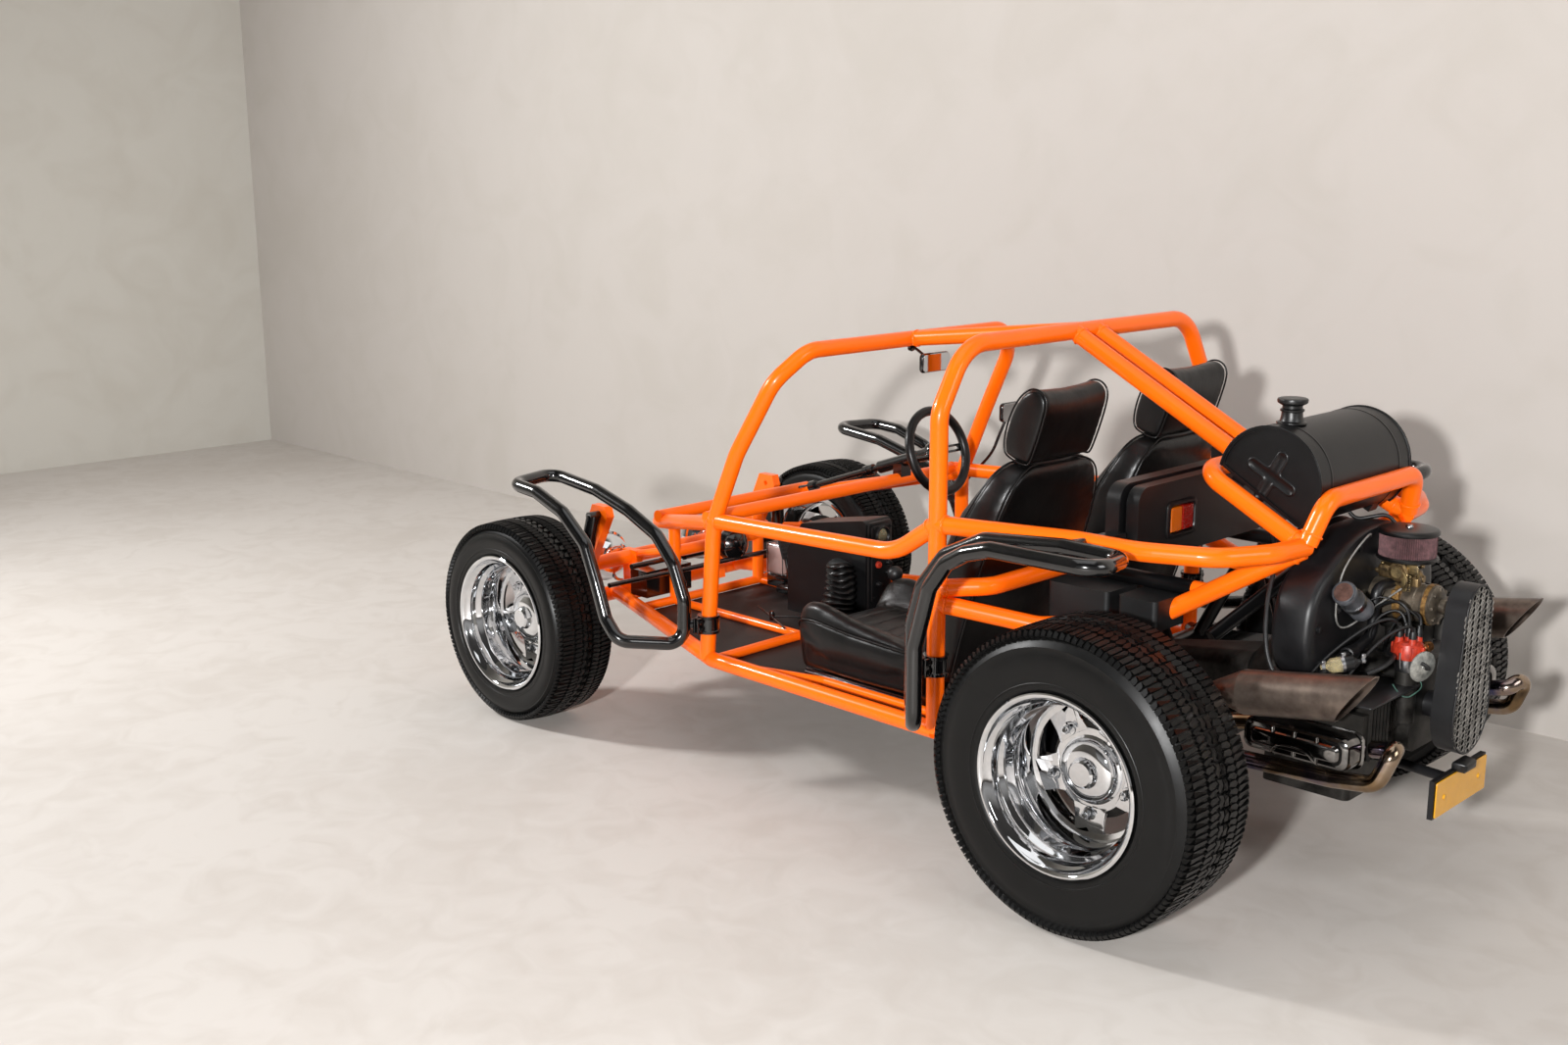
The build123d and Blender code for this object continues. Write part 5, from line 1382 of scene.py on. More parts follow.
class BUGGY_OT_carburettor(bpy.types.Operator):
    """Build up the carburettor from its throat, bowl, choke, cams and screws, over the manifold"""
    bl_idname = "buggy.carburettor"
    bl_label = "Carburettor"

    def execute(self, context):
        foot = at(-0.392, 0, 0)
        cast = [
            # throat, with the air horn's flange under the filter
            turned("throat", [(0.728, 0), (0.728, 0.030), (0.734, 0.030), (0.736, 0.021), (0.752, 0.021),
                              (0.756, 0.027), (0.762, 0.027), (0.764, 0.023), (0.774, 0.023), (0.777, 0.029),
                              (0.783, 0.029), (0.783, 0)], foot, AXIS_Z, 40),
            # float bowl ahead of the throat
            block("bowl", foot + Vector((0.030, 0.004, 0.757)), AXIS_Y, AXIS_X, AXIS_Z,
                  (0.031, 0.022, 0.016), 8 * MM),
            # choke housing, a ribbed drum on the left side
            turned("choke", [(0.018, 0), (0.018, 0.017), (0.030, 0.017), (0.031, 0.0225), (0.036, 0.0235),
                             (0.041, 0.0225), (0.042, 0.016), (0.046, 0.015), (0.047, 0)],
                   foot + Vector((0.0, 0, 0.762)), AXIS_Y, 36),
            # accelerator pump's cover behind
            turned("pump", [(0.018, 0), (0.018, 0.019), (0.025, 0.020), (0.027, 0.017), (0.033, 0.009),
                            (0.037, 0.008), (0.037, 0)], foot + Vector((-0.002, -0.012, 0.742)), -AXIS_X, 28),
            block("pump_arm", foot + Vector((-0.030, 0.012, 0.736)), AXIS_Y, AXIS_Z, AXIS_X,
                  (0.011, 0.014, 0.010), 4 * MM),
        ]
        for y, x, z in ((0.016, -0.021, 0.748), (-0.014, -0.022, 0.771), (0.014, 0.052, 0.752)):
            cast.append(turned("plug", [(0, 0), (0, 0.0065), (0.009, 0.0065), (0.010, 0.005), (0.013, 0.0045),
                                        (0.013, 0)], foot + Vector((x, y, z)), -AXIS_X if x < 0 else AXIS_X, 12))
        fit("carburettor_casting", cast, "carb_bronze", ["carburettor"])
        # yellow-plated cams, links and screws
        cams = [
            turned("cam", [(0.047, 0), (0.047, 0.0125), (0.050, 0.0125), (0.050, 0)],
                   foot + Vector((0.0, 0, 0.762)), AXIS_Y, 24),
            tube("link", [foot + Vector(p) for p in ((-0.012, 0.050, 0.768), (-0.026, 0.054, 0.758),
                                                     (-0.028, 0.052, 0.738), (-0.018, 0.046, 0.726))], 2.4 * MM),
            tube("rod", [foot + Vector(p) for p in ((-0.034, 0.026, 0.774), (-0.040, 0.022, 0.756),
                                                    (-0.036, 0.010, 0.738))], 2.0 * MM),
            block("lever", foot + Vector((-0.016, 0.040, 0.740)), AXIS_X, AXIS_Z, AXIS_Y,
                  (0.007, 0.021, 0.0018), 5 * MM),
            block("quadrant", foot + Vector((-0.030, 0.034, 0.771)), AXIS_X, AXIS_Z, AXIS_Y,
                  (0.014, 0.011, 0.0018), 6 * MM),
        ]
        for x, y, z in ((-0.026, 0.020, 0.7775), (-0.026, -0.020, 0.7775), (0.044, 0.026, 0.773),
                        (0.044, -0.018, 0.773)):
            cams.append(turned("screw", [(0, 0), (0, 0.0048), (0.003, 0.0048), (0.0045, 0.003), (0.0045, 0)],
                               foot + Vector((x, y, z)), AXIS_Z, 12))
        # return spring
        coil = []
        for n in range(60):
            a = 2 * math.pi * n / 8
            coil.append(foot + Vector((-0.030 + 0.0035 * math.cos(a), 0.044 + 0.0035 * math.sin(a),
                                       0.722 + n * 0.00065)))
        cams.append(tube("spring", coil, 0.7 * MM, steps=2, sides=1))
        fit("carburettor_cams", cams, "yellow_zinc", ["carburettor"])
        fit("filter_neck_band", [
            turned("band", [(0.7765, 0.0292), (0.7765, 0.0325), (0.7775, 0.0335), (0.7835, 0.0335),
                            (0.7845, 0.0325), (0.7845, 0.0292)], foot, AXIS_Z, 48),
            block("band_screw", foot + Vector((-0.030, 0.014, 0.7805)), AXIS_Y, AXIS_Z, AXIS_X,
                  (0.009, 0.0045, 0.006), 2 * MM)], "bright_alloy", ["carburettor"])
        pipes = []
        for side in (1, -1):
            pipes.append(tube("runner", [at(x, side * y, z) for x, y, z in (
                (-0.378, 0.004, 0.726), (-0.366, 0.040, 0.730), (-0.360, 0.070, 0.722), (-0.358, 0.074, 0.690),
                (-0.358, 0.074, 0.630), (-0.356, 0.090, 0.606), (-0.353, 0.180, 0.590), (-0.350, 0.262, 0.575),
                (-0.346, 0.284, 0.556), (-0.345, 0.285, 0.524))], 12.5 * MM))
            pipes.append(turned("boot", [(0.150, 0.0128), (0.152, 0.017), (0.160, 0.0175), (0.168, 0.017),
                                         (0.176, 0.0175), (0.184, 0.017), (0.186, 0.0128)],
                                at(-0.353, 0, 0.590), (0, side, 0), 24))
        fit("manifold_runners", pipes, "satin_enamel", ["carburettor"], degrees=50)
        return {"FINISHED"}


class BUGGY_OT_generator(bpy.types.Operator):
    """Fit the generator's stepped shell with its ribs, the clamp strap with its bolt, and the stand under it"""
    bl_idname = "buggy.generator"
    bl_label = "Generator"

    def execute(self, context):
        axle = at(0, 0, 0.690)
        fit("generator_shell", [
            turned("shell", [(-0.3255, 0), (-0.3255, 0.0445), (-0.345, 0.0445), (-0.347, 0.0425), (-0.360, 0.0425),
                             (-0.362, 0.0452), (-0.430, 0.0452), (-0.432, 0.0430), (-0.446, 0.0430),
                             (-0.448, 0.0455), (-0.468, 0.0455), (-0.474, 0.040), (-0.479, 0.030), (-0.4795, 0.018),
                             (-0.492, 0.017), (-0.494, 0.012), (-0.5145, 0.012), (-0.5145, 0)], axle, AXIS_X, 64),
            *[block("rib", axle + Vector((-0.470, 0.034 * math.cos(a), 0.034 * math.sin(a))),
                    Vector((0, -math.sin(a), math.cos(a))), Vector((0, math.cos(a), math.sin(a))),
                    -AXIS_X, (0.004, 0.009, 0.008), 2 * MM)
              for a in angles(8)]], "generator_grey", ["generator"])
        fit("generator_strap", [
            turned("strap", [(-0.385, 0.0455), (-0.385, 0.0472), (-0.387, 0.0475), (-0.401, 0.0475),
                             (-0.403, 0.0472), (-0.403, 0.0455)], axle, AXIS_X, 64),
            block("strap_lug", axle + Vector((-0.394, 0.050, 0.020)), AXIS_X, AXIS_Z, AXIS_Y,
                  (0.009, 0.012, 0.005), 2 * MM),
            hex_head(axle + Vector((-0.394, 0.054, 0.020)), AXIS_Y, 6 * MM, 6 * MM),
            turned("end_band", [(-0.452, 0.0455), (-0.452, 0.0475), (-0.462, 0.0475), (-0.462, 0.0455)], axle,
                   AXIS_X, 64)], "rusted_strap", ["generator"])
        # cast stand under the generator
        fit("generator_stand", [
            block("saddle", at(-0.394, 0, 0.638), AXIS_Y, AXIS_X, AXIS_Z, (0.040, 0.040, 0.010), 8 * MM,
                  taper=1.05),
            turned("oil_filler", [(0.600, 0), (0.600, 0.024), (0.652, 0.022), (0.654, 0.027), (0.668, 0.028),
                                  (0.671, 0.024), (0.672, 0)], at(-0.462, -0.062, 0), AXIS_Z, 28)],
            "cast_alloy")
        return {"FINISHED"}


class BUGGY_OT_distributor(bpy.types.Operator):
    """Fit the red distributor cap with its towers, the vacuum disc, the condenser and the clips"""
    bl_idname = "buggy.distributor"
    bl_label = "Distributor"

    def execute(self, context):
        foot = at(-0.455, 0.100, 0)
        towers = [foot + Vector((0.021 * math.cos(a), 0.021 * math.sin(a), 0))
                  for a in (math.pi / 4 + math.pi / 2 * n for n in range(4))]
        tower = [(0.618, 0), (0.618, 0.0105), (0.632, 0.0088), (0.642, 0.0078), (0.6425, 0.0)]
        fit("distributor_cap", [
            turned("cap", [(0.588, 0), (0.588, 0.0335), (0.593, 0.0350), (0.606, 0.0345), (0.612, 0.0335),
                           (0.622, 0.0315), (0.627, 0.026), (0.629, 0.0)], foot, AXIS_Z, 48),
            *[turned("tower", tower, place, AXIS_Z, 20) for place in (foot, *towers)],
            *[block("cap_rib", foot + Vector((0.0345 * math.cos(a), 0.0345 * math.sin(a), 0.604)),
                    Vector((-math.sin(a), math.cos(a), 0)), AXIS_Z,
                    Vector((math.cos(a), math.sin(a), 0)), (0.005, 0.014, 0.003), 1.5 * MM)
              for a in (math.pi / 4 * n for n in (0, 2, 3, 4, 6))]], "red_phenolic", ["distributor"])
        fit("distributor_body", [
            turned("body", [(0.520, 0), (0.520, 0.0135), (0.548, 0.0135), (0.552, 0.020), (0.560, 0.0255),
                            (0.586, 0.0285), (0.588, 0.0285), (0.588, 0)], foot, AXIS_Z, 40),
            tube("clip_a", [foot + Vector(p) for p in ((0.0, 0.034, 0.570), (0.0, 0.040, 0.590),
                                                       (0.0, 0.038, 0.606))], 2.2 * MM),
            tube("clip_b", [foot + Vector(p) for p in ((-0.030, -0.012, 0.566), (-0.037, -0.014, 0.590),
                                                       (-0.034, -0.014, 0.606))], 2.2 * MM)],
            "bright_alloy", ["distributor"])
        # vacuum disc, a pressed capsule whose face looks rearward and a little to the left
        face = Vector((-0.90, 0.36, -0.10)).normalized()
        hub = at(-0.494, 0.112, 0.578)
        fit("vacuum_capsule", [
            turned("capsule", [(-0.010, 0), (-0.009, 0.018), (-0.006, 0.027), (-0.001, 0.0335), (0.0, 0.0355),
                               (0.003, 0.0355), (0.004, 0.0335), (0.0075, 0.026), (0.0085, 0.018), (0.0100, 0.016),
                               (0.0105, 0.010), (0.0125, 0.009), (0.0130, 0)], hub, face, 56),
            tube("arm", [hub - face * 0.008, hub - face * 0.022 + Vector((0, -0.002, 0.002)),
                         foot + Vector((-0.020, 0.004, 0.578))], 5 * MM)], "dull_zinc", ["distributor"])
        fit("vacuum_nozzle", [
            tube("nozzle", [hub + face * 0.012, hub + face * 0.020, hub + face * 0.024 + Vector((0, 0.006, 0.008)),
                            hub + face * 0.020 + Vector((0.010, 0.016, 0.016))], 4.2 * MM)],
            "rubber_hose", degrees=60)
        axis = Vector((-0.25, -0.95, 0.15)).normalized()
        start = foot + Vector((-0.018, -0.030, 0.604))
        fit("condenser", [
            turned("can", [(0, 0), (0, 0.0105), (0.002, 0.0115), (0.026, 0.0115), (0.028, 0.0100), (0.028, 0)],
                   start, axis, 28),
            turned("can_band", [(0.008, 0.0118), (0.008, 0.0132), (0.016, 0.0132), (0.016, 0.0118)], start, axis,
                   28)], "copper_can", ["distributor"])
        return {"FINISHED"}


class BUGGY_OT_ignition_coil(bpy.types.Operator):
    """Fit the coil's can, base, stepped cap and clamp"""
    bl_idname = "buggy.ignition_coil"
    bl_label = "Ignition coil"

    def execute(self, context):
        base, tip = at(-0.354, 0.222, 0.742), at(-0.354, 0.124, 0.682)
        axis = (tip - base).normalized()
        long = (tip - base).length
        fit("coil_can", [
            turned("can", [(0.0, 0), (0.0, 0.0215), (0.0015, 0.0235), (0.0035, 0.0240), (0.0035, 0.0255),
                           (0.001, 0.0265), (0.004, 0.0278), (0.016, 0.0278), (0.018, 0.0268),
                           (long - 0.020, 0.0268), (long - 0.018, 0.0280), (long - 0.002, 0.0280),
                           (long, 0.0262), (long, 0)], base, axis, 56)],
            "coil_grey", ["ignition_coil"])
        fit("coil_base", [turned("disc", [(-0.0012, 0), (-0.0012, 0.0212), (0.0005, 0.0218), (0.0005, 0)],
                                         base, axis, 48)], "coil_base_brown", ["ignition_coil"])
        fit("coil_cap", [turned("cap", [(long, 0), (long, 0.0255), (long + 0.004, 0.0240),
                                               (long + 0.010, 0.016), (long + 0.022, 0.0125), (long + 0.030, 0.0120),
                                               (long + 0.032, 0.009), (long + 0.034, 0)], base, axis, 40)],
            "moulded_plastic", ["ignition_coil"])
        across = axis.cross(AXIS_X).normalized()
        fit("coil_clamp", [
            turned("clamp", [(0.052, 0.0270), (0.052, 0.0284), (0.068, 0.0284), (0.068, 0.0270)], base, axis, 56),
            block("clamp_foot", base + axis * 0.060 + AXIS_X * 0.028 - across * 0.012, across, axis,
                  AXIS_X, (0.020, 0.008, 0.0015), 2 * MM),
            hex_head(base + axis * 0.060 + AXIS_X * 0.0265 - across * 0.024, -AXIS_X, 5 * MM, 5 * MM)],
            "bright_alloy")
        return {"FINISHED"}


# Leads that are held at both ends: name, finish, radius in mm, control points from the rear axle
LEADS = (
    ("plug_lead_1", "rubber_hose", 3.4, ((-0.440, 0.115, 0.640), (-0.440, 0.116, 0.668), (-0.425, 0.150, 0.684),
                                         (-0.390, 0.190, 0.660), (-0.340, 0.250, 0.600), (-0.318, 0.300, 0.550),
                                         (-0.316, 0.308, 0.520))),
    ("plug_lead_2", "rubber_hose", 3.4, ((-0.470, 0.115, 0.640), (-0.472, 0.118, 0.664), (-0.465, 0.150, 0.672),
                                         (-0.440, 0.200, 0.650), (-0.410, 0.262, 0.590), (-0.396, 0.304, 0.545),
                                         (-0.394, 0.310, 0.520))),
    ("plug_lead_3", "rubber_hose", 3.4, ((-0.440, 0.085, 0.640), (-0.438, 0.082, 0.672), (-0.412, 0.084, 0.690),
                                         (-0.372, 0.100, 0.660), (-0.360, 0.100, 0.600), (-0.372, 0.040, 0.566),
                                         (-0.380, -0.120, 0.560), (-0.394, -0.290, 0.545), (-0.394, -0.310, 0.520))),
    ("plug_lead_4", "rubber_hose", 3.4, ((-0.470, 0.085, 0.640), (-0.474, 0.080, 0.668), (-0.452, 0.064, 0.688),
                                         (-0.412, 0.070, 0.668), (-0.384, 0.070, 0.600), (-0.370, 0.020, 0.556),
                                         (-0.350, -0.120, 0.552), (-0.318, -0.290, 0.545), (-0.316, -0.310, 0.520))),
    ("coil_lead", "rubber_hose", 3.6, ((-0.455, 0.100, 0.640), (-0.456, 0.102, 0.690), (-0.430, 0.108, 0.716),
                                       (-0.390, 0.098, 0.700), (-0.366, 0.094, 0.680), (-0.355, 0.100, 0.668))),
    ("throttle_cable", "cable_grey", 2.2, ((-0.336, 0.070, 0.842), (-0.352, 0.100, 0.858), (-0.352, 0.150, 0.840),
                                           (-0.340, 0.198, 0.792), (-0.332, 0.206, 0.735), (-0.330, 0.204, 0.660),
                                           (-0.338, 0.160, 0.640), (-0.370, 0.090, 0.690), (-0.408, 0.052, 0.728))),
    ("fuel_hose_feed", "rubber_hose", 5.2, ((-0.150, 0.180, 0.850), (-0.200, 0.235, 0.800), (-0.216, 0.300, 0.730),
                                            (-0.236, 0.342, 0.640), (-0.262, 0.356, 0.575), (-0.300, 0.352, 0.545),
                                            (-0.338, 0.336, 0.552), (-0.356, 0.318, 0.560))),
    ("fuel_hose_pump", "rubber_hose", 5.2, ((-0.436, 0.254, 0.580), (-0.452, 0.236, 0.588), (-0.462, 0.200, 0.600),
                                            (-0.452, 0.160, 0.604), (-0.426, 0.120, 0.592), (-0.406, 0.090, 0.585),
                                            (-0.400, 0.064, 0.590))),
    ("earth_wire", "cable_green", 1.3, ((-0.462, 0.180, 0.545), (-0.474, 0.170, 0.520), (-0.486, 0.150, 0.512),
                                        (-0.492, 0.128, 0.520), (-0.494, 0.112, 0.524), (-0.490, 0.090, 0.530),
                                        (-0.470, 0.080, 0.548))),
    ("coil_wire_black", "rubber_hose", 1.8, ((-0.362, 0.126, 0.700), (-0.384, 0.120, 0.722), (-0.420, 0.104, 0.712),
                                             (-0.462, 0.080, 0.680), (-0.472, 0.066, 0.650), (-0.470, 0.070, 0.612))),
)


class BUGGY_OT_leads(bpy.types.Operator):
    """Run the ignition leads, the fuel hoses with their filter and clips, and the cables"""
    bl_idname = "buggy.leads"
    bl_label = "Leads"

    def execute(self, context):
        for name, finish, radius, points in LEADS:
            lead = tube(name, [at(*p) for p in points], radius * MM, steps=6)
            wear(smooth(lead, 60), finish)
        boots = []
        for name, _, radius, points in LEADS[:5]:
            start = at(*points[0])
            boots.append(turned("boot", [(-0.004, 0), (-0.004, 0.0084), (0.010, 0.0078), (0.016, 0.0052),
                                         (0.022, 0.0046), (0.022, 0)], start, AXIS_Z, 20))
            end = at(*points[-1])
            drop = (end - at(*points[-2])).normalized()
            boots.append(turned("boot", [(-0.012, 0), (-0.012, 0.0046), (-0.006, 0.0068), (0.014, 0.0082),
                                         (0.020, 0.0082), (0.020, 0)], end, drop, 20))
        fit("lead_boots", boots, "rubber_hose")
        self.fuel_filter()
        return {"FINISHED"}

    def fuel_filter(self):
        """A clear filter bowl on a moulded case, between two clipped hoses."""
        start, end = at(-0.356, 0.318, 0.590), at(-0.436, 0.254, 0.612)
        axis = (end - start).normalized()
        long = (end - start).length
        fit("fuel_filter_bowl", [
            turned("bowl", [(0.004, 0), (0.004, 0.0050), (0.016, 0.0052), (0.020, 0.0105), (0.026, 0.0165),
                            (0.050, 0.0172), (0.050, 0)], start, axis, 36)], "clear_plastic")
        fit("fuel_filter_case", [
            turned("case", [(0.050, 0), (0.050, 0.0176), (0.054, 0.0182), (0.066, 0.0176), (0.074, 0.0162),
                            (0.080, 0.0085), (0.086, 0.0052), (long - 0.004, 0.0050), (long - 0.004, 0)], start,
                   axis, 36)], "moulded_plastic")
        clips = []
        for distance, radius in ((0.010, 0.0072), (0.0515, 0.0188), (long - 0.010, 0.0074)):
            clips.append(turned("clip", [(distance - 0.0035, radius - 0.0018), (distance - 0.0035, radius),
                                         (distance + 0.0035, radius), (distance + 0.0035, radius - 0.0018)], start,
                                axis, 32))
            side = axis.cross(AXIS_Z).normalized()
            clips.append(block("clip_ear", start + axis * distance + AXIS_Z * (radius + 0.003), side,
                               AXIS_Z, axis, (0.0042, 0.0045, 0.0042), 1 * MM))
        fit("hose_clips", clips, "bright_alloy")


class BUGGY_OT_rocker_covers(bpy.types.Operator):
    """Press the chromed rocker covers with their raised panels and wire bails"""
    bl_idname = "buggy.rocker_covers"
    bl_label = "Rocker covers"

    def execute(self, context):
        for side, name in ((1, "left"), (-1, "right")):
            middle = at(-0.345, 0, 0.430)
            rings = []
            for out, length, height, corner in (
                    (0.328, 0.134, 0.0430, 0.026), (0.331, 0.134, 0.0430, 0.026), (0.332, 0.129, 0.0395, 0.025),
                    (0.350, 0.1275, 0.0380, 0.024), (0.372, 0.1255, 0.0360, 0.022), (0.382, 0.1225, 0.0335, 0.020),
                    (0.386, 0.1165, 0.0285, 0.018), (0.3865, 0.110, 0.0235, 0.016), (0.3865, 0.104, 0.0195, 0.014),
                    (0.3925, 0.100, 0.0165, 0.012), (0.3945, 0.096, 0.0130, 0.010), (0.3945, 0.050, 0.0060, 0.004)):
                rings.append([middle + Vector((x, side * out, z))
                              for x, z in rounded(length, height, corner, corner, 8)])
            cover = stack("cover", rings)
            ribs = [block("rib", middle + Vector((x, side * 0.386, 0)), AXIS_X, AXIS_Z,
                          Vector((0, side, 0)), (0.0035, 0.030, 0.006), 3 * MM)
                    for x in (-0.052, 0.0, 0.052)]
            bail = tube("bail", [middle + Vector((x, side * y, z)) for x, y, z in (
                (0.060, 0.322, -0.050), (0.060, 0.350, -0.046), (0.052, 0.392, -0.030), (0.040, 0.400, -0.006),
                (0.0, 0.4015, 0.0), (-0.040, 0.400, -0.006), (-0.052, 0.392, -0.030), (-0.060, 0.350, -0.046),
                (-0.060, 0.322, -0.050))], 2.6 * MM)
            # the covers wear the chrome darkened as painted shade
            fit("chrome_rocker_cover_" + name, [cover, *ribs, bail],
                "smoked_chrome", ["rocker_covers"], degrees=30)
        return {"FINISHED"}


# half of the shroud's outline, from the top of the middle down to the bottom of the middle: y, z
SHROUD_HALF = ((0, 0.856), (0.06, 0.853), (0.12, 0.839), (0.180, 0.814), (0.232, 0.784), (0.274, 0.750),
               (0.300, 0.708), (0.309, 0.650), (0.305, 0.600), (0.288, 0.562), (0.255, 0.537), (0.20, 0.529),
               (0, 0.528))


class BUGGY_OT_fan_shroud(bpy.types.Operator):
    """Press the fan shroud as one smooth curved housing, with its fan bulge, seams and screws"""
    bl_idname = "buggy.fan_shroud"
    bl_label = "Fan shroud"

    def execute(self, context):
        half = smooth_line(SHROUD_HALF, 6)
        outline = half + [(-y, z) for y, z in half[-2:0:-1]]
        middle = (0.0, 0.69)  # the outline shrinks towards this point at the pressed edges
        rings = []
        for x, grow in ((-0.325, 0.86), (-0.326, 0.93), (-0.324, 0.968), (-0.318, 0.990), (-0.309, 1.0),
                        (-0.241, 0.985), (-0.232, 0.972), (-0.227, 0.948), (-0.225, 0.90)):
            rings.append([at(x, middle[0] + (y - middle[0]) * grow, middle[1] + (z - middle[1]) * grow)
                          for y, z in outline])
        case = stack("shroud_case", rings)
        bulge = turned("bulge", [(-0.018, 0), (-0.018, 0.150), (0.0, 0.158), (0.010, 0.156), (0.020, 0.148),
                                 (0.024, 0.138), (0.024, 0.104), (0.014, 0.098), (0.010, 0)],
                       at(-0.219, 0, 0.70), AXIS_X, 72)
        tins = [block("tin", at(-0.335, side * 0.205, 0.526), AXIS_X, AXIS_Y, AXIS_Z,
                      (0.150, 0.118, 0.0025), 6 * MM) for side in (1, -1)]
        screws = [hex_head(at(-0.326, y, z), (-1, 0, 0), 0.006, 0.006)
                  for y, z in ((0.255, 0.58), (-0.255, 0.58), (0.272, 0.66), (-0.272, 0.66), (0.10, 0.815),
                               (-0.10, 0.815))]
        fit("fan_shroud_case", [case, bulge, *tins, *screws],
            "satin_enamel", ["fan_shroud"], degrees=38)
        return {"FINISHED"}


COLUMN_TILT = math.radians(18.8)
COLUMN_DOWN = Vector((math.cos(COLUMN_TILT), 0, -math.sin(COLUMN_TILT)))
COLUMN_UP = Vector((math.sin(COLUMN_TILT), 0, math.cos(COLUMN_TILT)))


class BUGGY_OT_steering(bpy.types.Operator):
    """Wrap the steering wheel's rim, cut its three slotted spokes, and fit boss, shaft and coupling"""
    bl_idname = "buggy.steering"
    bl_label = "Steering"

    def execute(self, context):
        hub = at(1.226, -SEAT_Y, 0.805)
        circle = [(0.0140 * math.sin(a), 0.126 + 0.0142 * math.cos(a)) for a in angles(16)]
        rim = turned("rim", circle, hub, COLUMN_DOWN, 96)
        wear(smooth(rim, 60), "leather", ["steering_wheel"], "steering_wheel")
        seam = [hub + AXIS_Y * math.cos(a) * 0.1125 + COLUMN_UP * math.sin(a) * 0.1125 for a in angles(40)]
        stitches = tube("rim_seam", seam, 1.3 * MM, closed=True, steps=3, sides=1)
        wear(smooth(stitches, 60), "rubber_hose", body="steering_wheel")
        parts = []
        for degrees in (0, 180, 270):
            a = math.radians(degrees)
            out = AXIS_Y * math.cos(a) + COLUMN_UP * math.sin(a)
            across = COLUMN_DOWN.cross(out)
            for start, end, shift, width in ((0.020, 0.119, 0.0085, 0.0038), (0.020, 0.119, -0.0085, 0.0038),
                                             (0.018, 0.044, 0.0, 0.0122), (0.102, 0.119, 0.0, 0.0122)):
                middle = hub + out * (start + end) / 2 + across * shift + COLUMN_DOWN * 0.009
                parts.append(block("spoke", middle, across, COLUMN_DOWN, out,
                                   (width, 0.0022, (end - start) / 2), 1.2 * MM))
        parts.append(turned("boss", [(-0.004, 0), (-0.004, 0.024), (0.0, 0.0275), (0.006, 0.031), (0.012, 0.033),
                                     (0.030, 0.030), (0.034, 0.022), (0.078, 0.019), (0.080, 0.0)], hub, COLUMN_DOWN,
                            40))
        for a in angles(6):
            place = hub + (AXIS_Y * math.cos(a) + COLUMN_UP * math.sin(a)) * 0.0215 - COLUMN_DOWN * 0.003
            parts.append(hex_head(place, -COLUMN_DOWN, 0.0026, 0.003))
        parts.append(turned("shaft", [(0.078, 0), (0.078, 0.010), (0.578, 0.010), (0.578, 0)], hub, COLUMN_DOWN, 24))
        for start, radius in ((0.278, 0.0172), (0.301, 0.0172)):
            parts.append(turned("sleeve", [(start, 0), (start, radius - 0.002), (start + 0.002, radius),
                                           (start + 0.018, radius), (start + 0.020, radius - 0.002),
                                           (start + 0.020, 0)], hub, COLUMN_DOWN, 28))
        fit("steering_spokes", parts, "gloss_enamel", ["steering_wheel"], 40, "steering_wheel")
        return {"FINISHED"}


class BUGGY_OT_mirrors(bpy.types.Operator):
    """Mount the interior mirror on its bent stem and the door mirror on its arm, with silvered glass"""
    bl_idname = "buggy.mirrors"
    bl_label = "Mirrors"

    def execute(self, context):
        shells, panes = [], []
        for centre, half_wide, half_high, corner in ((at(1.010, 0, 1.120), 0.060, 0.0275, 0.012),
                                                      (at(1.206, -0.606, 0.893), 0.045, 0.031, 0.014)):
            shells.append(block("shell", centre + AXIS_X * 1 * MM, AXIS_Y, AXIS_Z, AXIS_X,
                                (half_wide, half_high, 0.0075), corner))
            panes.append(block("pane", centre - AXIS_X * 7 * MM, AXIS_Y, AXIS_Z, AXIS_X,
                               (half_wide - 3 * MM, half_high - 3 * MM, 0.0012), corner - 2 * MM))
        shells.append(tube("stem", [at(1.016, 0, 1.124), at(1.040, 0, 1.128), at(1.058, 0, 1.142),
                                    at(1.096, 0, 1.160)], 4.2 * MM))
        shells.append(turned("ball", [(-0.009, 0), (-0.007, 0.006), (0, 0.009), (0.007, 0.006), (0.009, 0)],
                             at(1.021, 0, 1.125), AXIS_X, 24))
        shells.append(turned("foot", [(-0.004, 0), (-0.004, 0.016), (0.004, 0.014), (0.006, 0.006), (0.006, 0)],
                             at(1.092, 0, 1.158), (-0.9, 0, -0.4), 28))
        shells.append(tube("arm", [at(1.352, -0.548, 0.640), at(1.300, -0.566, 0.700), at(1.243, -0.572, 0.760),
                                   at(1.226, -0.584, 0.822), at(1.212, -0.600, 0.873)], 5 * MM))
        fit("mirror_shells", shells, "gloss_enamel", ["mirrors"], degrees=45)
        fit("mirror_glass", panes, "mirror", degrees=30)
        return {"FINISHED"}


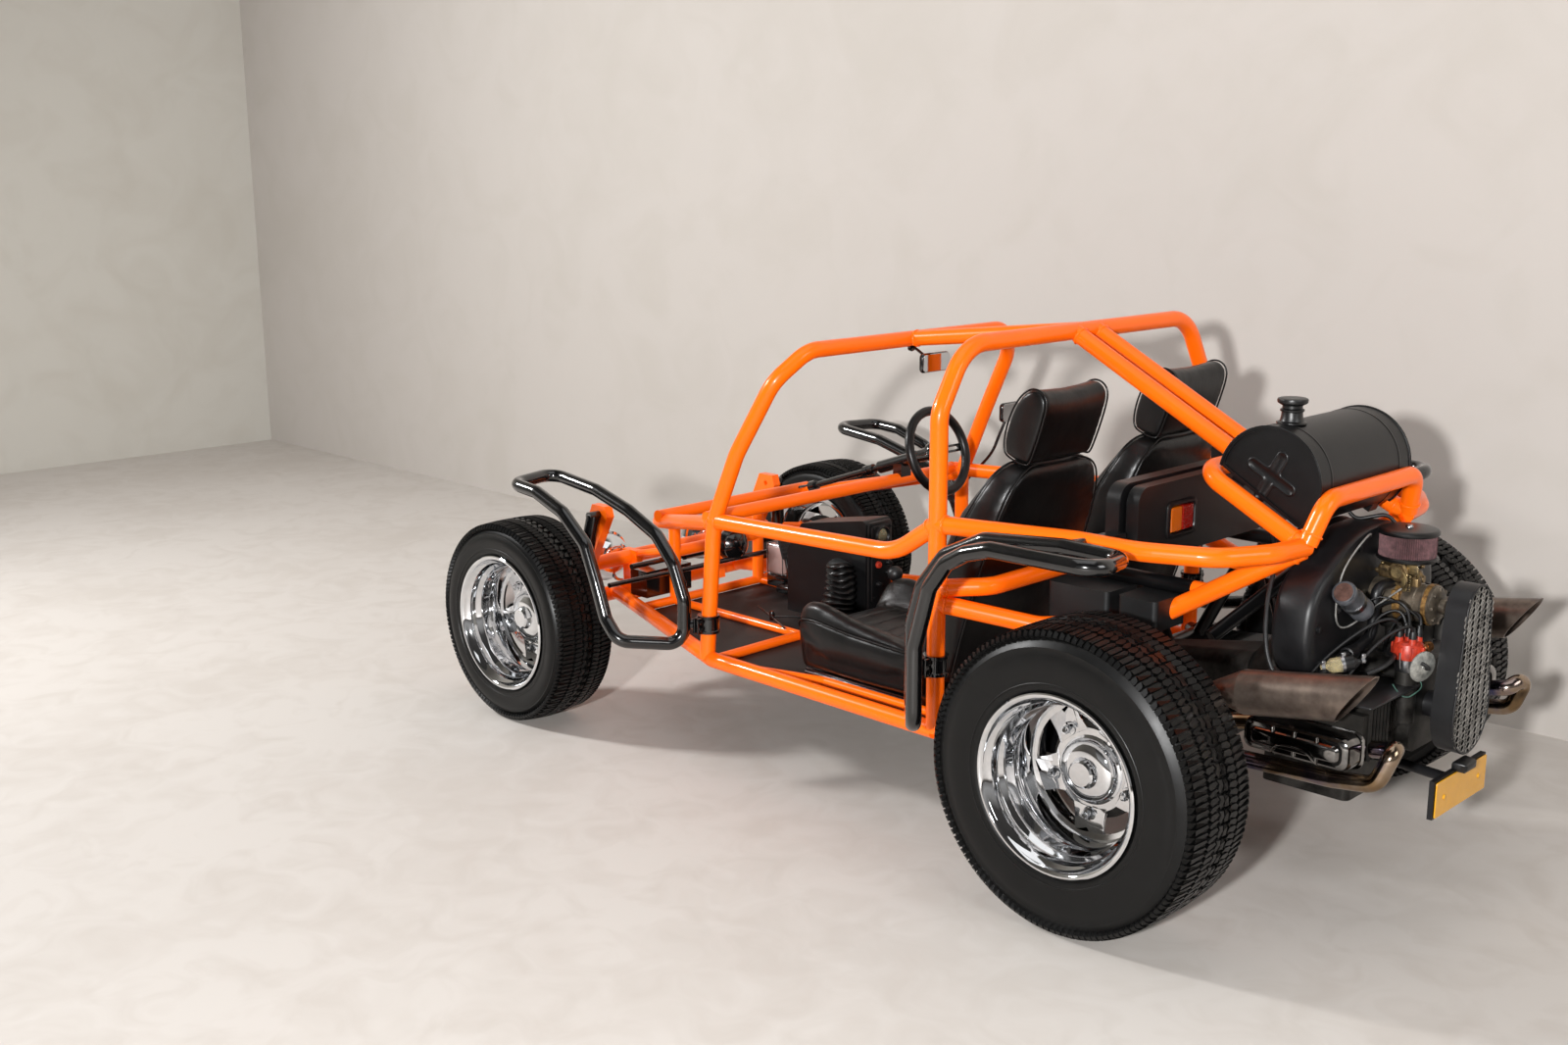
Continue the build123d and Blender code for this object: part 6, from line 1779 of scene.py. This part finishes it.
class BUGGY_OT_headlamps(bpy.types.Operator):
    """Spin the chromed lamp bowls with fluted glass and a reflector behind it"""
    bl_idname = "buggy.headlamps"
    bl_label = "Headlamps"

    def execute(self, context):
        bowls, lenses = [], []
        for side in (1, -1):
            centre = at(2.186, side * 0.215, 0.390)
            bowls.append(turned("bowl", [(0.0, 0), (0.0, 0.030), (0.004, 0.044), (0.012, 0.056), (0.024, 0.066),
                                         (0.038, 0.072), (0.052, 0.0755), (0.054, 0.0835), (0.058, 0.0845),
                                         (0.070, 0.0845), (0.076, 0.082), (0.078, 0.077), (0.0765, 0.0745),
                                         (0.068, 0.0735), (0.050, 0.062), (0.034, 0.045), (0.024, 0.020),
                                         (0.022, 0.0)], centre, AXIS_X, 72))
            bowls.append(turned("bulb", [(0.020, 0), (0.020, 0.010), (0.036, 0.010), (0.046, 0.008), (0.050, 0.0)],
                                centre, AXIS_X, 20))
            bowls.append(tube("stalk", [centre + Vector((0.022, 0, -0.064)), centre + Vector((0.010, 0, -0.076)),
                                        centre + Vector((-0.020, 0, -0.072))], 7 * MM))
            glass = turned("lens", [(0.0735, 0), (0.0735, 0.0745), (0.0765, 0.0745), (0.081, 0.060), (0.085, 0.036),
                                    (0.0865, 0.0)], centre, AXIS_X, 72)
            lenses.append(glass)
            for n in range(-5, 6):
                y = n * 0.0118
                reach = math.sqrt(0.070 ** 2 - y ** 2)
                rise = 0.0135 * (1 - (y / 0.075) ** 2)
                lenses.append(tube("flute", [centre + Vector((0.0742, y, -reach)),
                                             centre + Vector((0.0735 + rise, y, -reach * 0.4)),
                                             centre + Vector((0.0735 + rise, y, reach * 0.4)),
                                             centre + Vector((0.0742, y, reach))], 1.4 * MM, steps=4, sides=1))
        fit("lamp_bowls", bowls, "chrome", ["headlamps"])
        fit("lamp_lenses", lenses, "clear_lens", degrees=40)
        return {"FINISHED"}


class BUGGY_OT_console(bpy.types.Operator):
    """Fit the console's panel with its dial hole, knobs and button, the soft gaiter and the levers"""
    bl_idname = "buggy.console"
    bl_label = "Console"

    def execute(self, context):
        slabs = [block("panel", at(1.219, -0.005, 0.470), AXIS_Y, AXIS_Z, AXIS_X, (0.052, 0.160, 0.006), 14 * MM)]
        for z, half_high in ((0.585, 0.034), (0.455, 0.070)):
            slabs.append(block("frame", at(1.212, -0.005, z), AXIS_Y, AXIS_Z, AXIS_X,
                               (0.042, half_high, 0.004), 9 * MM))
        slabs.append(turned("dial_rim", [(0, 0.022), (-0.006, 0.024), (-0.009, 0.028), (-0.006, 0.031), (0, 0.032)],
                            at(1.209, -0.005, 0.585), AXIS_X, 48))
        for y, z in ((0.030, 0.612), (-0.040, 0.612), (0.030, 0.558), (-0.040, 0.558), (0.028, 0.400),
                     (-0.038, 0.400)):
            slabs.append(hex_head(at(1.207, y, z), (-1, 0, 0), 0.0030, 0.003))
        slabs += [turned("knob", [(0, 0), (0, 0.0085), (-0.006, 0.0080), (-0.008, 0.0060), (-0.016, 0.0056),
                                  (-0.018, 0.0)], at(1.208, y, z), AXIS_X, 24)
                  for y, z in ((-0.032, 0.500), (-0.030, 0.470), (0.012, 0.440))]
        fit("console_panel", slabs, "moulded_plastic")
        button = turned("start_button", [(0, 0), (0, 0.0105), (-0.005, 0.0105), (-0.009, 0.0085), (-0.0095, 0)],
                        at(1.208, 0.012, 0.500), AXIS_X, 32)
        wear(smooth(button), "red_phenolic")
        dial = turned("dial_glass", [(0, 0), (0, 0.022), (-0.002, 0.022), (-0.0035, 0.014), (-0.004, 0)],
                      at(1.209, -0.005, 0.585), AXIS_X, 40)
        wear(smooth(dial), "clear_plastic")
        # the gaiter of soft leather beside the panel, wrinkled in deep folds
        rings = []
        folds = 11
        for n in range(folds * 4 + 1):
            t = n / (folds * 4)
            wave = (0.0, 0.006, 0.010, 0.006)[n % 4]
            centre = at(1.315 - 0.030 * t - 0.012 * math.sin(3 * t), 0.108 - 0.014 * math.sin(2.4 * t),
                        0.306 + 0.205 * t)
            wide, deep = 0.052 - 0.020 * t + wave, 0.044 - 0.016 * t + wave
            rings.append([centre + AXIS_X * wide * math.cos(a) + AXIS_Y * deep * math.sin(a)
                          + AXIS_Z * 0.004 * math.sin(2 * a + 9 * t) for a in angles(36)])
        gaiter = stack("lever_gaiter", rings)
        wear(smooth(gaiter, 80), "leather")
        # the gear lever's and brake lever's dressed handles
        grips = [tube("grip", [at(1.130, 0, 0.312), at(1.138, 0, 0.372), at(1.146, 0, 0.430), at(1.150, 0, 0.462)],
                      8.6 * MM),
                 turned("knob", [(-0.024, 0), (-0.022, 0.010), (-0.012, 0.0205), (0.0, 0.0235), (0.012, 0.0205),
                                 (0.020, 0.011), (0.022, 0)], at(1.150, 0, 0.481), AXIS_Z, 40),
                 turned("boot", [(-0.004, 0), (-0.004, 0.036), (0.006, 0.032), (0.012, 0.024), (0.018, 0.026),
                                 (0.024, 0.019), (0.030, 0.021), (0.036, 0.014), (0.046, 0.010), (0.046, 0)],
                        at(1.131, 0, 0.302), AXIS_Z, 36)]
        fit("lever_grips", grips, "rubber_hose", degrees=50)
        rods = [tube("rod", [at(*p) for p in run], 3.2 * MM) for run in (
            ((1.640, 0.095, 0.306), (1.520, 0.150, 0.306), (1.400, 0.215, 0.306)),
            ((1.520, 0.150, 0.306), (1.480, 0.110, 0.306), (1.420, 0.052, 0.306)))]
        rods.append(turned("rod_knuckle", [(-0.008, 0), (-0.008, 0.008), (0.012, 0.009), (0.020, 0.006), (0.020, 0)],
                           at(1.520, 0.150, 0.304), AXIS_Z, 20))
        fit("lever_rods", rods, "gloss_enamel", degrees=45)
        return {"FINISHED"}


PEDALS_Y = (-0.150, -0.235, -0.320)


class BUGGY_OT_pedals(bpy.types.Operator):
    """Fit ribbed pedal pads, and the clear fluid reservoir in its wire cage"""
    bl_idname = "buggy.pedals"
    bl_label = "Pedals"

    def execute(self, context):
        tilt = math.radians(20)
        face, up = Vector((-math.cos(tilt), 0, math.sin(tilt))), Vector((math.sin(tilt), 0, math.cos(tilt)))
        pads = []
        for y in PEDALS_Y:
            pads.append(block("pad", at(1.765, y, 0.430) + face * 0.008, AXIS_Y, up, face,
                              (0.029, 0.034, 0.0045), 6 * MM))
            for n in range(5):
                pads.append(block("ridge", at(1.765, y, 0.430) + face * 0.0135 + up * (n - 2) * 0.0125, up,
                                  face, AXIS_Y, (0.0026, 0.0022, 0.024), 1 * MM))
        fit("pedal_pads", pads, "rubber_hose")
        centre = at(1.824, -0.200, 0.380)
        jar = block("fluid_jar", centre + AXIS_Z * 2 * MM, AXIS_X, AXIS_Y, AXIS_Z, (0.0375, 0.041, 0.050), 12 * MM)
        wear(smooth(jar, 40), "fluid_jar", ["pedal_gear"])
        cage = []
        for z in (-0.046, 0.052):
            ring = [centre + Vector((sx * 0.040, sy * 0.0435, z))
                    for sx, sy in ((1, 0), (1, 1), (0, 1), (-1, 1), (-1, 0), (-1, -1), (0, -1), (1, -1))]
            cage.append(tube("hoop", ring, 1.8 * MM, closed=True, steps=4, sides=1))
        for sx, sy in ((1, 1), (-1, 1), (-1, -1), (1, -1)):
            cage.append(tube("post", [centre + Vector((sx * 0.036, sy * 0.039, z)) for z in (-0.048, 0.0, 0.053)],
                             1.8 * MM, sides=1))
        cage.append(turned("cap", [(0.052, 0), (0.052, 0.026), (0.058, 0.027), (0.070, 0.026), (0.073, 0.022),
                                   (0.073, 0.0)], centre, AXIS_Z, 40))
        fit("jar_cage", cage, "bright_alloy", degrees=40)
        arms = []
        for y in PEDALS_Y:
            arms.append(tube("arm", [at(1.740, y, 0.302), at(1.744, y, 0.340), at(1.758, y, 0.386),
                                     at(1.766, y, 0.424)], 7 * MM))
        arms.append(block("box", at(1.742, -0.235, 0.300), AXIS_X, AXIS_Z, AXIS_Y, (0.030, 0.012, 0.120), 4 * MM))
        arms.append(block("cylinder_foot", at(1.830, -0.200, 0.306), AXIS_X, AXIS_Z, AXIS_Y,
                          (0.045, 0.022, 0.030), 8 * MM))
        for y in (-0.185, -0.255):
            arms.append(turned("brake_cylinder", [(0, 0), (0, 0.014), (0.004, 0.017), (0.060, 0.017), (0.064, 0.012),
                                                  (0.078, 0.010), (0.078, 0)], at(1.768, y, 0.322), AXIS_X, 24))
        # round rubber boot over the servo on the bulkhead bar
        arms.append(turned("servo_boot", [(0.028, 0), (0.028, 0.050), (0.020, 0.054), (0.012, 0.050), (0.006, 0.054),
                                          (-0.004, 0.049), (-0.012, 0.051), (-0.026, 0.040), (-0.038, 0.022),
                                          (-0.042, 0.0)], at(1.900, -0.047, 0.440), AXIS_X, 48))
        fit("pedal_arms", arms, "gloss_enamel", ["pedal_gear"], degrees=40)
        return {"FINISHED"}


# upright tubes that carry a fender clamp: x, y, z
CLAMP_PLACES = ((1.354, 0.562, 0.402), (0.506, 0.580, 0.470))


class BUGGY_OT_clamps(bpy.types.Operator):
    """Finish the fender clamps on the upright tubes with rolled edges, ears and bolts"""
    bl_idname = "buggy.clamps"
    bl_label = "Clamps"

    def execute(self, context):
        parts = []
        for side in (1, -1):
            for x, y, z in CLAMP_PLACES:
                centre = at(x, side * y, z)
                parts.append(turned("band", [(-0.0255, 0.028), (-0.0255, 0.0316), (-0.018, 0.0324), (-0.016, 0.0304),
                                             (0.016, 0.0304), (0.018, 0.0324), (0.0255, 0.0316), (0.0255, 0.028)],
                                    centre, AXIS_Z, 48))
                for ear in (0.007, -0.007):
                    parts.append(block("ear", centre + Vector((ear, side * 0.038, 0)), AXIS_X, AXIS_Z,
                                       AXIS_Y, (0.0038, 0.023, 0.012), 2 * MM))
                for rise in (0.011, -0.011):
                    parts.append(hex_head(centre + Vector((0.0108, side * 0.040, rise)), AXIS_X, 0.0055, 0.005))
                    parts.append(hex_head(centre + Vector((-0.0108, side * 0.040, rise)), -AXIS_X, 0.0055, 0.005))
        fit("fender_clamps", parts, "gloss_enamel", degrees=38)
        return {"FINISHED"}


class BUGGY_OT_seat_runners(bpy.types.Operator):
    """Lay the seats' sliding rails with their slides, and the rear brackets with their bolts"""
    bl_idname = "buggy.seat_runners"
    bl_label = "Seat runners"

    def execute(self, context):
        rails, bright = [], []
        for side in (1, -1):
            for y in (SEAT_Y - 0.165, SEAT_Y + 0.165):
                for z, half_wide, half_high in ((0.292, 0.014, 0.0055), (0.304, 0.010, 0.0050)):
                    rails.append(block("rail", at(0.870, side * y, z), AXIS_Y, AXIS_Z, AXIS_X,
                                       (half_wide, half_high, 0.205), 2 * MM))
                bright.append(block("slide", at(0.880, side * (y + 0.0125), 0.2985), AXIS_Y, AXIS_Z, AXIS_X,
                                    (0.0016, 0.003, 0.196), 0.8 * MM))
                rails.append(block("bracket", at(0.668, side * y, 0.345), AXIS_X, AXIS_Z, AXIS_Y,
                                   (0.024, 0.058, 0.003), 5 * MM))
                bright.append(hex_head(at(0.668, side * (y + 0.004), 0.372), (0, side, 0), 0.006, 0.005))
                bright.append(hex_head(at(0.668, side * (y + 0.004), 0.320), (0, side, 0), 0.006, 0.005))
        fit("seat_rails", rails, "gloss_enamel", degrees=40)
        fit("seat_slides", bright, "bright_alloy", degrees=40)
        return {"FINISHED"}


# ends of tubes that meet another tube, seen from outside: a point on the joint, the tube's own direction, its
# radius and the radius of the tube that it runs into; all given for the left, (x, y, z)
WELD_JOINTS = (
    ((-0.267, 0.250, 0.828), (0.60, 0.17, -0.38), 0.0222, 0.0222),
    ((0.506, 0.580, 0.625), (-0.90, -0.43, -0.14), 0.0222, 0.0222),
    ((0.506, 0.580, 0.662), (-0.79, -0.61, 0.06), 0.0222, 0.0222),
    ((0.506, 0.580, 0.820), (0.83, -0.06, -0.55), 0.0222, 0.0222),
    ((0.506, 0.580, 0.820), (-0.99, -0.09, 0.04), 0.0222, 0.0222),
    ((1.347, 0.545, 0.697), (-1.0, 0.036, 0.04), 0.0222, 0.0222),
    ((1.350, 0.540, 0.688), (0.87, -0.43, -0.19), 0.0222, 0.0222),
    ((1.372, 0.548, 0.700), (0, -1, 0), 0.019, 0.0222),
    ((-0.265, 0.250, 0.838), (0.89, -0.03, 0.45), 0.0222, 0.0222),
    ((-0.276, 0.250, 0.842), (-0.23, -0.34, 0.91), 0.0222, 0.0222),
    ((1.325, 0.560, 0.290), (-0.96, -0.27, 0), 0.0125, 0.0222),
    ((0.506, 0.580, 0.330), (-0.71, -0.70, 0), 0.019, 0.0222),
    ((1.098, 0.0, 1.180), (-0.99, 0, 0.11), 0.0218, 0.0222),
    ((0.506, 0.047, 1.244), (-0.88, 0, -0.47), 0.0218, 0.0222),
    ((-0.002, 0.047, 0.972), (0.88, 0, 0.47), 0.0218, 0.0222),
)


class BUGGY_OT_welds(bpy.types.Operator):
    """Lay a rippled weld bead round each joint of the frame's tubes"""
    bl_idname = "buggy.welds"
    bl_label = "Welds"

    def execute(self, context):
        beads = []
        for place, along, radius, wall in WELD_JOINTS:
            for side in (1, -1):
                if place[1] == 0 and side < 0:
                    continue
                axis = Vector((along[0], side * along[1], along[2])).normalized()
                centre = at(place[0], side * place[1], place[2]) + axis * (wall + 1.5 * MM)
                across = axis.orthogonal().normalized()
                up = axis.cross(across)
                line = []
                for n, a in enumerate(angles(40)):
                    reach = radius + (0.0008 if n % 2 else -0.0002)  # the bead's ripple
                    line.append(centre + (across * math.cos(a) + up * math.sin(a)) * reach)
                beads.append(tube("bead", line, 3.0 * MM, closed=True, steps=2, sides=1))
        fit("frame_welds", beads, "powder_coat", degrees=60)
        return {"FINISHED"}


OPERATORS = (
    BUGGY_OT_finishes, BUGGY_OT_stage, BUGGY_OT_tyres, BUGGY_OT_rims, BUGGY_OT_seat_backs, BUGGY_OT_headrests,
    BUGGY_OT_seat_cushions, BUGGY_OT_tank_trim, BUGGY_OT_rear_lamps, BUGGY_OT_number_plate, BUGGY_OT_air_filter,
    BUGGY_OT_belt_guard, BUGGY_OT_carburettor, BUGGY_OT_generator, BUGGY_OT_distributor, BUGGY_OT_ignition_coil,
    BUGGY_OT_leads, BUGGY_OT_rocker_covers, BUGGY_OT_fan_shroud, BUGGY_OT_steering, BUGGY_OT_mirrors,
    BUGGY_OT_headlamps, BUGGY_OT_console, BUGGY_OT_pedals, BUGGY_OT_clamps, BUGGY_OT_seat_runners, BUGGY_OT_welds,
)


class BUGGY_PT_panel(bpy.types.Panel):
    """Lists the buggy's pieces in the sidebar"""
    bl_label = "Dune Buggy"
    bl_space_type = "VIEW_3D"
    bl_region_type = "UI"
    bl_category = "Buggy"

    def draw(self, context):
        for operator in OPERATORS:
            self.layout.operator(operator.bl_idname)


def register():
    for group in (BuggyColours, BuggySizes, *OPERATORS, BUGGY_PT_panel):
        bpy.utils.register_class(group)
    bpy.types.Scene.buggy_colours = PointerProperty(type=BuggyColours)
    bpy.types.Scene.buggy_sizes = PointerProperty(type=BuggySizes)


def unregister():
    del bpy.types.Scene.buggy_sizes
    del bpy.types.Scene.buggy_colours
    for group in (BUGGY_PT_panel, *reversed(OPERATORS), BuggySizes, BuggyColours):
        bpy.utils.unregister_class(group)


def main():
    register()
    bpy.context.scene.view_settings.view_transform = "Standard"
    for operator in OPERATORS:
        group, name = operator.bl_idname.split(".")
        getattr(getattr(bpy.ops, group), name)()


if __name__ == "__main__":
    main()
